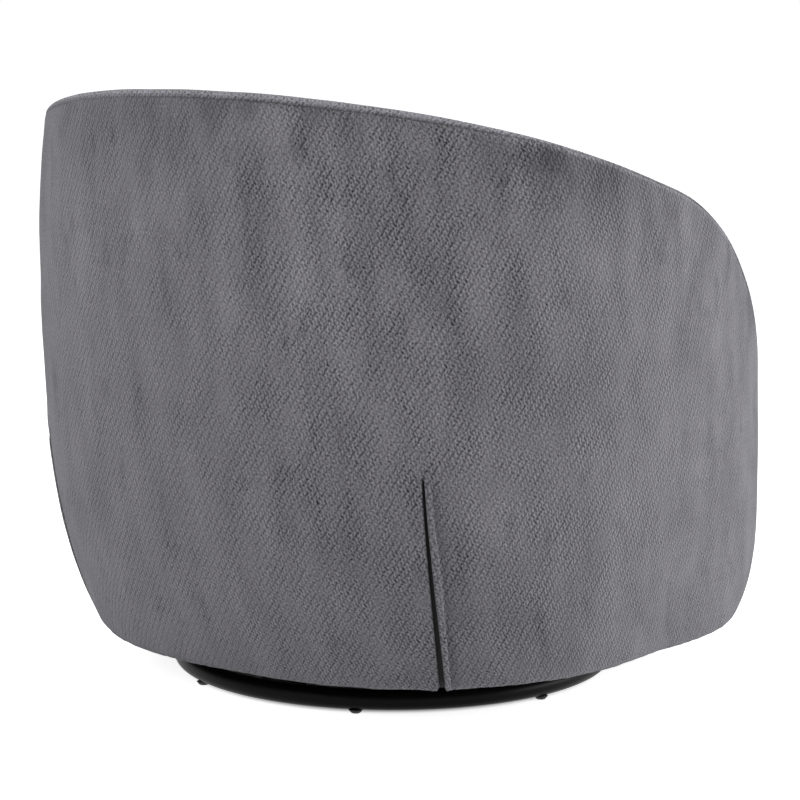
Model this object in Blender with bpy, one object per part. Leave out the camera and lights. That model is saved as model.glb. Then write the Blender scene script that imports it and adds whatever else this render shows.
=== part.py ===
"""Barrel-shaped swivel armchair on a ring base, modelled piece by piece in metres, +Z up.

The swivel axis is the Z axis and the floor is z = 0. The sitter faces -Y. Plan angles are measured
from the middle of the back (+Y) towards the sitter's right (-X).
"""

import math

import bmesh
import bpy

# Overall size of the upholstered shell
CHAIR_WIDTH = 0.800
CHAIR_DEPTH = 0.780
HEM_HEIGHT = 0.047
BACK_PLAN_POWER = 2.14
FRONT_PLAN_POWER = 2.53

# Height of the rim at plan angles from the middle of the back
RIM_BACK = 0.677
RIM_BACK_SIDE = 0.672
RIM_REAR_CORNER = 0.650
RIM_REAR_ARM = 0.607
RIM_MID_ARM = 0.560
RIM_FRONT_ARM = 0.463
RIM_ARM_NOSE = 0.395
RIM_ARM_END = 0.322
APRON_TOP = 0.300
RIM_STATIONS = (
    (0, RIM_BACK), (25, RIM_BACK_SIDE), (45, RIM_REAR_CORNER), (70, RIM_REAR_ARM), (90, RIM_MID_ARM),
    (110, RIM_FRONT_ARM), (120, RIM_ARM_NOSE), (134, RIM_ARM_END), (152, APRON_TOP), (180, APRON_TOP),
)

# Bulge of the shell: how far its foot tucks in and its rim leans in
BACK_TUCK = 0.085
SIDE_TUCK = 0.065
FRONT_TUCK = 0.025
BACK_WIDEST_HEIGHT = 0.487
FRONT_WIDEST_HEIGHT = 0.205
BACK_LEAN = 0.014
FRONT_LEAN = 0.046
BACK_TUCK_POWER = 3.4
FRONT_TUCK_POWER = 4.0
HEM_ROUND = 0.012
HEM_ROUND_TUCK = 0.006
HEM_ROUND_SHARE = 0.98
SIDE_ANGLE = 60
FRONT_BLEND_ANGLES = (95, 132)

# Upholstery
COVER_THICKNESS = 0.007
HEM_TURN_IN = 0.038
HEM_THICKNESS = 0.003
DUST_COVER_MARGIN = 0.0025
RIM_BAND_THICKNESS = 0.007
RIM_BAND_CROWN = 0.003
RIM_BAND_EDGE = 0.004
RIM_BAND_SPLIT_SHARE = 0.7
LAYER_TOP_GAP = 0.0018
RAIL_TOP_GAP = 0.0030
ARM_END_ANGLE = 130
COLUMN_COUNT = 32
COLUMN_ANGLE = 2 * ARM_END_ANGLE / COLUMN_COUNT
APRON_COLUMNS = 16
BACK_WALL_LOW = 0.170
ARM_WALL_LOW = 0.125
BACK_WALL_TOP = 0.095
ARM_WALL_TOP = 0.105
ARM_END_WALL = 0.024
WALL_BACK_ANGLE = 15
WALL_ARM_ANGLE = 75
ARM_TAPER_ANGLE = 112
TIMBER_END_ANGLE = 118
PAD_SOFTNESS = 0.010

# Darts that draw the cover in at the two rear corners
DART_TOP_HEIGHT = 0.278
DART_TOP_ANGLE = 41.0
DART_HEM_ANGLE = 45.5
DART_SLIT_WIDTH = 0.006
DART_START_WIDTH = 0.0016
DART_DEPTH = 0.004
DART_RIDGE_WIDTH = 0.005
DART_RIDGE_HEIGHT = 0.0025
DART_BLEND = 0.006
DART_FADE = 0.040
DART_CLEAR_SHARE = 1.3
DART_SIDE_SHARE = 0.8

# Timber and board inside the shell
LINER_THICKNESS = 0.003
FRONT_PANEL_THICKNESS = 0.005
RIB_THICKNESS = 0.015
RIB_DEPTH = 0.055
RIB_CLEARANCE = 0.0009
RIB_TOP_GAP = 0.0009
RIB_COLUMNS = (-13, -9, -4, 0, 4, 9, 13)
RIB_SLOT_WIDTH = 0.022
RIB_SLOT_MARGIN = 0.060
RIB_SLOT_LENGTH = 0.300
TOP_RAIL_THICKNESS = 0.018
INNER_LINER_THICKNESS = 0.0025
BASE_BOARD_THICKNESS = 0.018
BOARD_EDGE_CLEARANCE = 0.0025
RAIL_THICKNESS = 0.022
RAIL_HEIGHT = 0.060
FRAME_WIDTH = 0.452
FRAME_FRONT = 0.270
FRAME_REAR = 0.206
POST_SIDE = 0.040
TIMBER_EDGE = 0.002
BOARD_COLUMNS = 52
CLOTH_COLUMNS = 44
SLOT_END_STEPS = 4

# Zigzag seat springs
SPRING_COUNT = 4
SPRING_SPACING = 0.100
SPRING_WIRE = 0.0036
SPRING_HALF_WIDTH = 0.022
SPRING_SQUARENESS = 0.005
SPRING_CROWN = 0.012
SPRING_HALF_LOOPS = 15
POINTS_PER_HALF_LOOP = 3

# Seat
DECK_THICKNESS = 0.006
CUSHION_THICKNESS = 0.125
CUSHION_CROWN = 0.022
CUSHION_EDGE_TUCK = 0.009
CUSHION_SIDE_GAP = 0.003
SEAT_BLEND_ANGLE = 12
SEAT_FRONT_ANGLE = 148
PAD_BELOW_DECK = 0.007

# Ring base
RING_RADIUS = 0.246
TUBE_DIAMETER = 0.0228
GLIDE_HEIGHT = 0.004
GLIDE_DIAMETER = 0.016
GLIDE_CHAMFER = 0.001
GLIDE_COUNT = 7
GLIDE_FIRST_ANGLE = 14.4
GLIDE_SIDES = 12
CROSS_BAR_WIDTH = 0.040
CROSS_BAR_THICKNESS = 0.008
RING_SEGMENTS = 42
BAR_END_SHARES = (-1, -0.5, 0, 0.5, 1)

# Turntable bearing
BALL_DIAMETER = 0.008
BALL_COUNT = 8
RACE_RADIUS = 0.095
RACE_CLEARANCE = 0.0005
RACE_DEPTH = 0.0017
PLATE_THICKNESS = 0.0035
PLATE_INNER_RADIUS = 0.034
PLATE_OUTER_RADIUS = 0.130
CAGE_WIDTH = 0.018
CAGE_THICKNESS = 0.0016
CAGE_HOLE_CLEARANCE = 0.0003
ACCESS_HOLE_DIAMETER = 0.012
SCREW_COUNT = 4
LOWER_SCREW_RADIUS = 0.062
UPPER_SCREW_RADIUS = 0.1165
SCREW_DIAMETER = 0.006
SCREW_HEAD_DIAMETER = 0.010
SCREW_HEAD_HEIGHT = 0.0022
UPPER_SCREW_LENGTH = 0.014
LOWER_SCREW_LENGTH = 0.0105
SWIVEL_BLOCK_RADIUS = 0.150
UPPER_SCREW_ANGLE = 45
BEARING_SEGMENTS = 48
CAGE_SEGMENTS = 36
HOLE_SIDES = 10
ACCESS_HOLE_SIDES = 14
POCKET_SIDES = 12
GROOVE_SHARES = (-1, -0.42, 0.42, 1)

# Shared fits
GAP = 0.0003
OVERRUN = 0.010
SHARP_ANGLE = 35

# Heights and insets that follow from the sizes above
TUBE_RADIUS = TUBE_DIAMETER / 2
TUBE_HEIGHT = GLIDE_HEIGHT + TUBE_RADIUS
CROSS_TOP = TUBE_HEIGHT + CROSS_BAR_THICKNESS / 2
BALL_RADIUS = BALL_DIAMETER / 2
GROOVE_RADIUS = BALL_RADIUS + RACE_CLEARANCE
LOWER_PLATE_BOTTOM = CROSS_TOP + GAP
LOWER_PLATE_TOP = LOWER_PLATE_BOTTOM + PLATE_THICKNESS
BALL_HEIGHT = LOWER_PLATE_TOP - RACE_DEPTH + GROOVE_RADIUS
UPPER_PLATE_BOTTOM = BALL_HEIGHT + GROOVE_RADIUS - RACE_DEPTH
UPPER_PLATE_TOP = UPPER_PLATE_BOTTOM + PLATE_THICKNESS
HEM_TOP = HEM_HEIGHT + HEM_THICKNESS
BOARD_BOTTOM = HEM_TOP + GAP
BOARD_TOP = BOARD_BOTTOM + BASE_BOARD_THICKNESS
BLOCK_BOTTOM = UPPER_PLATE_TOP + GAP
LINER_INSET = COVER_THICKNESS + GAP
RIB_INSET = LINER_INSET + LINER_THICKNESS + RIB_CLEARANCE
INNER_LINER_INSET = RIB_INSET + RIB_DEPTH + GAP
PAD_INSET = INNER_LINER_INSET + INNER_LINER_THICKNESS + GAP
BOARD_INSET = LINER_INSET + FRONT_PANEL_THICKNESS + GAP
COVER_TOP_DROP = RIM_BAND_THICKNESS + GAP
LAYER_TOP_DROP = RIM_BAND_THICKNESS + LAYER_TOP_GAP
RAIL_TOP_DROP = RIM_BAND_THICKNESS + RAIL_TOP_GAP
CUSHION_BOTTOM = APRON_TOP + GAP
DECK_BOTTOM = CUSHION_BOTTOM - GAP - DECK_THICKNESS
PAD_BOTTOM = DECK_BOTTOM - PAD_BELOW_DECK
RAIL_TOP = DECK_BOTTOM - 2 * GAP - SPRING_CROWN - SPRING_WIRE

# Rows of the shell: shares of the height from the hem to the seat, then of the rest up to the rim
LOWER_ROW_SHARES = (0.0, 0.015, 0.047, 0.12, 0.24, 0.42, 0.65, 0.86, 0.93, 1.0)
INNER_ROW_SHARES = (0.14, 0.36, 0.66, 1.0)
UPPER_ROW_SHARES = (0.25, 0.5, 0.75, 1.0)
INNER_UPPER_ROW_SHARES = (0.5, 1.0)
PAD_BACK_ROW_SHARES = (0.0, 0.5, 1.0)
PAD_FACE_ROW_SHARES = (1.0, 0.93, 0.78, 0.5, 0.22, 0.07, 0.0)

# Rows of the cushion: shares of its plan radius, of the seams' tuck, of its height and of its crown
CUSHION_ROW_SHARES = (
    (0.55, 0, 0, 0), (1, 1, 0, 0), (1, 0, 0.22, 0), (1, 0, 0.62, 0),
    (1, 1, 0.86, 0), (1, 3, 1, -0.1), (0.75, 0, 1, 0.45), (0.4, 0, 1, 0.9),
)


def clamp(value):
    """Limit a value to the range from 0 to 1."""
    return min(max(value, 0.0), 1.0)


def smooth(value):
    """Ease a share from 0 to 1 with level ends."""
    share = clamp(value)
    return share * share * (3 - 2 * share)


def mix(start, end, share):
    """Value at a share of the way from start to end."""
    return start + (end - start) * share


def plan_point(angle, radius, height):
    """World point at a plan angle in degrees, a radius and a height."""
    turn = math.radians(angle)
    return (-radius * math.sin(turn), radius * math.cos(turn), height)


def rim_height(angle):
    """Height of the rim: a smooth curve without overshoot through the rim stations."""
    turn = abs(angle)
    stations = RIM_STATIONS
    slopes = []
    for (start, low), (end, high) in zip(stations, stations[1:]):
        slopes.append((high - low) / (end - start))
    tangents = [0.0]
    for before, after in zip(slopes, slopes[1:]):
        same_way = before * after > 0
        tangents.append(2 * before * after / (before + after) if same_way else 0.0)
    tangents.append(0.0)
    for index in range(len(slopes)):
        start, low = stations[index]
        end, high = stations[index + 1]
        if turn <= end:
            break
    span = end - start
    share = (turn - start) / span
    square = share * share
    cube = square * share
    height = (2 * cube - 3 * square + 1) * low + (3 * square - 2 * cube) * high
    height += (cube - 2 * square + share) * span * tangents[index]
    height += (cube - square) * span * tangents[index + 1]
    return height


def plan_radius(angle):
    """Radius of the shell's widest plan outline, a rounded square flatter at the front."""
    turn = math.radians(angle)
    power = BACK_PLAN_POWER if math.cos(turn) > 0 else FRONT_PLAN_POWER
    across = abs(math.sin(turn)) / (CHAIR_WIDTH / 2)
    along = abs(math.cos(turn)) / (CHAIR_DEPTH / 2)
    return (across ** power + along ** power) ** (-1 / power)


def shell_radius(angle, height):
    """Radius of the shell's outer face: widest at mid height, tucked in below, leaning in above."""
    turn = abs(angle)
    to_side = smooth(turn / SIDE_ANGLE)
    to_front = smooth((turn - FRONT_BLEND_ANGLES[0]) / (FRONT_BLEND_ANGLES[1] - FRONT_BLEND_ANGLES[0]))
    tuck = mix(mix(BACK_TUCK, SIDE_TUCK, to_side), FRONT_TUCK, to_front)
    power = mix(BACK_TUCK_POWER, FRONT_TUCK_POWER, to_front)
    widest = mix(BACK_WIDEST_HEIGHT, FRONT_WIDEST_HEIGHT, to_front)
    lean = mix(BACK_LEAN, FRONT_LEAN, to_front)
    below = clamp((widest - height) / (widest - HEM_HEIGHT))
    above = clamp((height - widest) / (RIM_BACK - widest))
    return plan_radius(angle) - tuck * below ** power - lean * above ** 2


def hem_rounding(height):
    """How far the rounded lower edge of the cover draws in at a height."""
    share = clamp((HEM_HEIGHT + HEM_ROUND - height) / HEM_ROUND)
    return HEM_ROUND_TUCK * (1 - math.sqrt(1 - HEM_ROUND_SHARE * share * share))


def wall_thickness(angle, height):
    """Thickness of the padded wall, from the outer face to the sitter's side."""
    turn = abs(angle)
    to_arm = smooth((turn - WALL_BACK_ANGLE) / (WALL_ARM_ANGLE - WALL_BACK_ANGLE))
    to_end = smooth((turn - ARM_TAPER_ANGLE) / (ARM_END_ANGLE - ARM_TAPER_ANGLE))
    low = mix(mix(BACK_WALL_LOW, ARM_WALL_LOW, to_arm), ARM_END_WALL, to_end)
    top = mix(mix(BACK_WALL_TOP, ARM_WALL_TOP, to_arm), ARM_END_WALL, to_end)
    rise = clamp((height - APRON_TOP) / (RIM_BACK - APRON_TOP))
    return mix(low, top, rise)


def make_material(name, colour, roughness, metallic=0.0):
    """Plain finish of one kind of piece."""
    material = bpy.data.materials.new(name)
    material.use_nodes = True
    shader = material.node_tree.nodes["Principled BSDF"]
    shader.inputs["Base Color"].default_value = (*colour, 1.0)
    shader.inputs["Roughness"].default_value = roughness
    shader.inputs["Metallic"].default_value = metallic
    material.diffuse_color = (*colour, 1.0)
    return material


def make_materials():
    """All finishes by name."""
    return {
        "grey_fabric": make_material("grey_fabric", (0.16, 0.16, 0.17), 0.95),
        "black_steel": make_material("black_steel", (0.012, 0.012, 0.013), 0.35, 0.6),
        "black_plastic": make_material("black_plastic", (0.015, 0.015, 0.016), 0.5),
        "bearing_steel": make_material("bearing_steel", (0.45, 0.45, 0.46), 0.3, 1.0),
        "ball_steel": make_material("ball_steel", (0.62, 0.62, 0.63), 0.12, 1.0),
        "screw_steel": make_material("screw_steel", (0.55, 0.54, 0.50), 0.35, 1.0),
        "spring_steel": make_material("spring_steel", (0.20, 0.20, 0.21), 0.4, 1.0),
        "plywood": make_material("plywood", (0.55, 0.38, 0.22), 0.7),
        "timber": make_material("timber", (0.60, 0.44, 0.27), 0.75),
        "fibreboard": make_material("fibreboard", (0.33, 0.25, 0.17), 0.9),
        "felt": make_material("felt", (0.30, 0.29, 0.27), 1.0),
        "dust_cloth": make_material("dust_cloth", (0.01, 0.01, 0.011), 1.0),
    }


def finish(name, mesh_maker, material, is_round=True):
    """Turn a bmesh into a named object with faces pointing out."""
    bmesh.ops.recalc_face_normals(mesh_maker, faces=mesh_maker.faces)
    mesh = bpy.data.meshes.new(name)
    mesh_maker.to_mesh(mesh)
    mesh_maker.free()
    mesh.materials.append(material)
    if is_round:
        mesh.shade_smooth()
        mesh.set_sharp_from_angle(angle=math.radians(SHARP_ANGLE))
    piece = bpy.data.objects.new(name, mesh)
    bpy.context.collection.objects.link(piece)
    return piece


def middle_radius(first, second):
    """Distance from the swivel axis to the middle of two corners."""
    middle = (first.co + second.co) / 2
    return math.hypot(middle.x, middle.y)


def add_split_quad(maker, corners):
    """Two triangles split along the outer diagonal, so that nested layers stay parallel."""
    first, second, third, fourth = corners
    if middle_radius(first, third) >= middle_radius(second, fourth):
        maker.faces.new((first, second, third))
        maker.faces.new((first, third, fourth))
    else:
        maker.faces.new((first, second, fourth))
        maker.faces.new((second, third, fourth))


def loft(name, sections, material, closed=False):
    """Skin a row of closed sections, joined end to end or capped at both ends."""
    maker = bmesh.new()
    rings = []
    for section in sections:
        rings.append([maker.verts.new(point) for point in section])
    pairs = list(zip(rings, rings[1:]))
    if closed:
        pairs.append((rings[-1], rings[0]))
    for first, second in pairs:
        for index in range(len(first)):
            after = (index + 1) % len(first)
            add_split_quad(maker, (first[index], first[after], second[after], second[index]))
    if not closed:
        maker.faces.new(rings[0])
        maker.faces.new(reversed(rings[-1]))
    return finish(name, maker, material)


def turned(name, profile, segments, material):
    """Spin a closed profile of (radius, height) points once about the swivel axis."""
    maker = bmesh.new()
    corners = [maker.verts.new((radius, 0, height)) for radius, height in profile]
    edges = []
    for index in range(len(corners)):
        edges.append(maker.edges.new((corners[index - 1], corners[index])))
    bmesh.ops.spin(maker, geom=corners + edges, cent=(0, 0, 0), axis=(0, 0, 1),
                   angle=2 * math.pi, steps=segments, use_merge=True)
    return finish(name, maker, material)


def prism(name, outline, bottom, top, material, is_round=True):
    """Extrude a plan outline of (x, y) points between two heights."""
    maker = bmesh.new()
    base = maker.faces.new([maker.verts.new((x, y, bottom)) for x, y in outline])
    lifted = bmesh.ops.extrude_face_region(maker, geom=[base])
    corners = [item for item in lifted["geom"] if isinstance(item, bmesh.types.BMVert)]
    bmesh.ops.translate(maker, verts=corners, vec=(0, 0, top - bottom))
    return finish(name, maker, material, is_round)


def cylinders(name, places, diameter, bottom, top, sides):
    """Cutter made of upright cylinders at (x, y) places."""
    maker = bmesh.new()
    for x, y in places:
        made = bmesh.ops.create_cone(maker, cap_ends=True, segments=sides, radius1=diameter / 2,
                                     radius2=diameter / 2, depth=top - bottom)
        bmesh.ops.translate(maker, verts=made["verts"], vec=(x, y, (top + bottom) / 2))
    return as_cutter(finish(name, maker, bpy.data.materials["black_steel"]))


def as_cutter(piece):
    """Show a cutter as a wire and keep it out of the model."""
    piece.hide_render = True
    piece.display_type = "WIRE"
    return piece


def cut(piece, cutter):
    """Take a cutter's volume out of a piece."""
    boolean = piece.modifiers.new("cut_" + cutter.name, "BOOLEAN")
    boolean.operation = "DIFFERENCE"
    boolean.solver = "EXACT"
    boolean.object = cutter


def circle_places(count, radius, first_angle=0):
    """Evenly spaced (x, y) places on a circle about the swivel axis."""
    places = []
    for index in range(count):
        turn = math.radians(first_angle + 360 * index / count)
        places.append((radius * math.cos(turn), radius * math.sin(turn)))
    return places


# Base: ring, cross and glides


def make_ring(material):
    """Tube bent to a ring, its ends welded."""
    curve = bpy.data.curves.new("base_ring", "CURVE")
    curve.dimensions = "3D"
    curve.bevel_depth = TUBE_RADIUS
    curve.bevel_resolution = 3
    spline = curve.splines.new("POLY")
    spline.points.add(RING_SEGMENTS - 1)
    for point, (x, y) in zip(spline.points, circle_places(RING_SEGMENTS, RING_RADIUS)):
        point.co = (x, y, TUBE_HEIGHT, 1)
    spline.use_cyclic_u = True
    spline.use_smooth = True
    curve.materials.append(material)
    ring = bpy.data.objects.new("base_ring", curve)
    bpy.context.collection.objects.link(ring)


def make_cross(material):
    """Two flat bars welded across each other, their ends cut to the ring's inside."""
    ring_inside = (RING_RADIUS - TUBE_RADIUS - GAP) * math.cos(math.pi / RING_SEGMENTS)
    half = CROSS_BAR_WIDTH / 2
    outline = []
    for quarter in range(4):
        for share in BAR_END_SHARES:
            turn = math.pi / 2 * quarter + math.asin(share * half / ring_inside)
            outline.append((ring_inside * math.cos(turn), ring_inside * math.sin(turn)))
        inner = math.pi / 2 * quarter + math.pi / 4
        reach = half * math.sqrt(2)
        outline.append((reach * math.cos(inner), reach * math.sin(inner)))
    cross = prism("cross_bars", outline, CROSS_TOP - CROSS_BAR_THICKNESS, CROSS_TOP, material, False)
    places = circle_places(SCREW_COUNT, LOWER_SCREW_RADIUS)
    holes = cylinders("cross_holes", places, SCREW_DIAMETER + 2 * GAP,
                      CROSS_TOP - CROSS_BAR_THICKNESS - OVERRUN, CROSS_TOP + OVERRUN, HOLE_SIDES)
    cut(cross, holes)


def make_glides(material):
    """Chamfered feet under the ring."""
    radius = GLIDE_DIAMETER / 2
    for index, (x, y) in enumerate(circle_places(GLIDE_COUNT, RING_RADIUS, GLIDE_FIRST_ANGLE)):
        maker = bmesh.new()
        height = GLIDE_HEIGHT - GAP
        bmesh.ops.create_cone(maker, cap_ends=True, segments=GLIDE_SIDES, radius1=radius,
                              radius2=radius, depth=height)
        glide = finish(f"glide_{index + 1}", maker, material)
        glide.location = (x, y, height / 2)
        bevel = glide.modifiers.new("chamfer", "BEVEL")
        bevel.width = GLIDE_CHAMFER
        bevel.segments = 1


# Bearing: two grooved plates with caged balls between them


def plate_profile(outer_face, groove_face):
    """Section of a plate: flat outside, a ball groove in the face towards the balls."""
    side = 1 if groove_face > outer_face else -1
    half_groove = math.sqrt(GROOVE_RADIUS ** 2 - (GROOVE_RADIUS - RACE_DEPTH) ** 2)
    centre = groove_face + side * (GROOVE_RADIUS - RACE_DEPTH)
    profile = [(PLATE_INNER_RADIUS, outer_face), (PLATE_INNER_RADIUS, groove_face)]
    for share in GROOVE_SHARES:
        offset = share * half_groove
        drop = math.sqrt(GROOVE_RADIUS ** 2 - offset ** 2)
        profile.append((RACE_RADIUS + offset, centre - side * drop))
    profile += [(PLATE_OUTER_RADIUS, groove_face), (PLATE_OUTER_RADIUS, outer_face)]
    return profile


def make_bearing(materials):
    """Grooved plates, ball cage and balls of the turntable."""
    steel = materials["bearing_steel"]
    lower = turned("bearing_lower_plate", plate_profile(LOWER_PLATE_BOTTOM, LOWER_PLATE_TOP),
                   BEARING_SEGMENTS, steel)
    upper = turned("bearing_upper_plate", plate_profile(UPPER_PLATE_TOP, UPPER_PLATE_BOTTOM),
                   BEARING_SEGMENTS, steel)
    hole = SCREW_DIAMETER + 2 * GAP
    lower_places = circle_places(SCREW_COUNT, LOWER_SCREW_RADIUS)
    cut(lower, cylinders("lower_plate_holes", lower_places, hole, LOWER_PLATE_BOTTOM - OVERRUN,
                         LOWER_PLATE_TOP + OVERRUN, HOLE_SIDES))
    upper_places = circle_places(SCREW_COUNT, UPPER_SCREW_RADIUS, UPPER_SCREW_ANGLE)
    cut(lower, cylinders("access_hole", upper_places[:1], ACCESS_HOLE_DIAMETER,
                         LOWER_PLATE_BOTTOM - OVERRUN, LOWER_PLATE_TOP + OVERRUN, ACCESS_HOLE_SIDES))
    cut(upper, cylinders("upper_plate_holes", upper_places, hole, UPPER_PLATE_BOTTOM - OVERRUN,
                         UPPER_PLATE_TOP + OVERRUN, HOLE_SIDES))

    inner = RACE_RADIUS - CAGE_WIDTH / 2
    outer = RACE_RADIUS + CAGE_WIDTH / 2
    low = BALL_HEIGHT - CAGE_THICKNESS / 2
    high = BALL_HEIGHT + CAGE_THICKNESS / 2
    cage = turned("ball_cage", [(inner, low), (inner, high), (outer, high), (outer, low)],
                  CAGE_SEGMENTS, materials["black_plastic"])
    ball_places = circle_places(BALL_COUNT, RACE_RADIUS)
    pocket = BALL_DIAMETER + 2 * CAGE_HOLE_CLEARANCE
    cut(cage, cylinders("cage_pockets", ball_places, pocket / math.cos(math.pi / POCKET_SIDES),
                        low - OVERRUN, high + OVERRUN, POCKET_SIDES))
    for index, (x, y) in enumerate(ball_places):
        maker = bmesh.new()
        bmesh.ops.create_icosphere(maker, subdivisions=2, radius=BALL_RADIUS)
        ball = finish(f"bearing_ball_{index + 1:02d}", maker, materials["ball_steel"])
        ball.location = (x, y, BALL_HEIGHT)


def make_screw(name, place, head_bottom, head_up, length, material):
    """Hexagon-headed screw; its shank points away from its head."""
    maker = bmesh.new()
    way = -1 if head_up else 1
    bmesh.ops.create_cone(maker, cap_ends=True, segments=6, radius1=SCREW_HEAD_DIAMETER / 2,
                          radius2=SCREW_HEAD_DIAMETER / 2, depth=SCREW_HEAD_HEIGHT)
    seat = max(face.calc_center_median().z * way for face in maker.faces)
    face = next(face for face in maker.faces if face.calc_center_median().z * way == seat)
    inset = (SCREW_HEAD_DIAMETER - SCREW_DIAMETER) / 2
    bmesh.ops.inset_region(maker, faces=[face], thickness=inset, use_even_offset=False)
    shank = bmesh.ops.extrude_face_region(maker, geom=[face])
    bmesh.ops.delete(maker, geom=[face], context="FACES_ONLY")
    tip = [item for item in shank["geom"] if isinstance(item, bmesh.types.BMVert)]
    bmesh.ops.translate(maker, verts=tip, vec=(0, 0, way * length))
    screw = finish(name, maker, material, False)
    x, y = place
    screw.location = (x, y, head_bottom + SCREW_HEAD_HEIGHT / 2)
    return screw


def make_screws(material):
    """Screws that hold the lower plate to the cross and the upper plate to the swivel block."""
    for index, place in enumerate(circle_places(SCREW_COUNT, LOWER_SCREW_RADIUS)):
        name = f"lower_screw_{index + 1}"
        make_screw(name, place, LOWER_PLATE_TOP + GAP, True, LOWER_SCREW_LENGTH, material)
    head_bottom = UPPER_PLATE_BOTTOM - GAP - SCREW_HEAD_HEIGHT
    for index, place in enumerate(circle_places(SCREW_COUNT, UPPER_SCREW_RADIUS, UPPER_SCREW_ANGLE)):
        name = f"upper_screw_{index + 1}"
        make_screw(name, place, head_bottom, False, UPPER_SCREW_LENGTH, material)


# Timber frame


def full_turn(count):
    """Plan angles of a closed ring, starting at the middle of the front."""
    return [-180 + 360 * index / count for index in range(count)]


def make_boards(materials):
    """Swivel block, base board and the dust cloth under them."""
    block_outline = circle_places(BEARING_SEGMENTS, SWIVEL_BLOCK_RADIUS)
    block = prism("swivel_block", block_outline, BLOCK_BOTTOM, BOARD_BOTTOM - GAP, materials["plywood"])
    depth = UPPER_SCREW_LENGTH - PLATE_THICKNESS + GAP
    places = circle_places(SCREW_COUNT, UPPER_SCREW_RADIUS, UPPER_SCREW_ANGLE)
    cut(block, cylinders("block_pilot_holes", places, SCREW_DIAMETER + 2 * GAP,
                         BLOCK_BOTTOM - OVERRUN, BLOCK_BOTTOM + depth, HOLE_SIDES))

    maker = bmesh.new()
    rings = []
    for height in (BOARD_BOTTOM, BOARD_TOP):
        ring = []
        for angle in full_turn(BOARD_COLUMNS):
            radius = shell_radius(angle, height) - BOARD_INSET - BOARD_EDGE_CLEARANCE
            ring.append(maker.verts.new(plan_point(angle, radius, height)))
        rings.append(ring)
    maker.faces.new(rings[0])
    maker.faces.new(rings[1])
    for index in range(len(rings[0])):
        maker.faces.new((rings[0][index - 1], rings[0][index], rings[1][index], rings[1][index - 1]))
    finish("base_board", maker, materials["plywood"])

    sections = []
    block_edge = SWIVEL_BLOCK_RADIUS + 2 * GAP
    for angle in full_turn(CLOTH_COLUMNS):
        outer = shell_radius(angle, HEM_HEIGHT) - HEM_TURN_IN - DUST_COVER_MARGIN
        corners = ((block_edge, HEM_TOP - HEM_THICKNESS / 2), (outer, HEM_TOP - HEM_THICKNESS / 2),
                   (outer, HEM_TOP), (block_edge, HEM_TOP))
        sections.append([plan_point(angle, radius, height) for radius, height in corners])
    loft("dust_cover", sections, materials["dust_cloth"], closed=True)


def layer_heights(lower_shares, upper_shares, top, bottom=HEM_HEIGHT):
    """Rows of one layer of the shell between a bottom and a top height."""
    seat = min(APRON_TOP, top)
    heights = [bottom]
    for share in lower_shares:
        height = mix(HEM_HEIGHT, APRON_TOP, share)
        if bottom < height < seat:
            heights.append(height)
    heights.append(seat)
    heights += [mix(seat, top, share) for share in upper_shares]
    return heights


def liner_rows(angle):
    """Rows of the thin liner behind the outer cover."""
    top = rim_height(angle) - LAYER_TOP_DROP
    return layer_heights(INNER_ROW_SHARES, INNER_UPPER_ROW_SHARES, top, BOARD_BOTTOM)


def inner_rows(angle):
    """Rows of the liner and pad on the sitter's side of the ribs."""
    top = rim_height(angle) - LAYER_TOP_DROP
    return [mix(PAD_BOTTOM, top, share) for share in PAD_BACK_ROW_SHARES]


def faceted_radius(angle, height, rows):
    """Radius of the shell at a height, straight between rows as its thin layers are."""
    low = rows[0]
    for high in rows[1:]:
        if height <= high:
            break
        low = high
    if height <= low:
        return shell_radius(angle, height)
    share = (height - low) / (high - low)
    return mix(shell_radius(angle, low), shell_radius(angle, high), share)


def rib_heights(bottom, top, rows):
    """Heights of a rib's edge: its ends and the rows of the layer that it carries."""
    return [bottom] + [height for height in rows if bottom < height < top] + [top]


def rail_underside(angle):
    """Height of the curved top rail's lower face."""
    return rim_height(angle) - RAIL_TOP_DROP - TOP_RAIL_THICKNESS


def plate_on_edge(name, angle, outline, thickness, material):
    """Upright plate in the plane of the swivel axis, from an outline of (radius, height) points."""
    maker = bmesh.new()
    face = maker.faces.new([maker.verts.new((radius, -thickness / 2, height)) for radius, height in outline])
    lifted = bmesh.ops.extrude_face_region(maker, geom=[face])
    corners = [item for item in lifted["geom"] if isinstance(item, bmesh.types.BMVert)]
    bmesh.ops.translate(maker, verts=corners, vec=(0, thickness, 0))
    plate = finish(name, maker, material, False)
    plate.rotation_euler = (0, 0, math.radians(angle + 90))
    return plate


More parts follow.
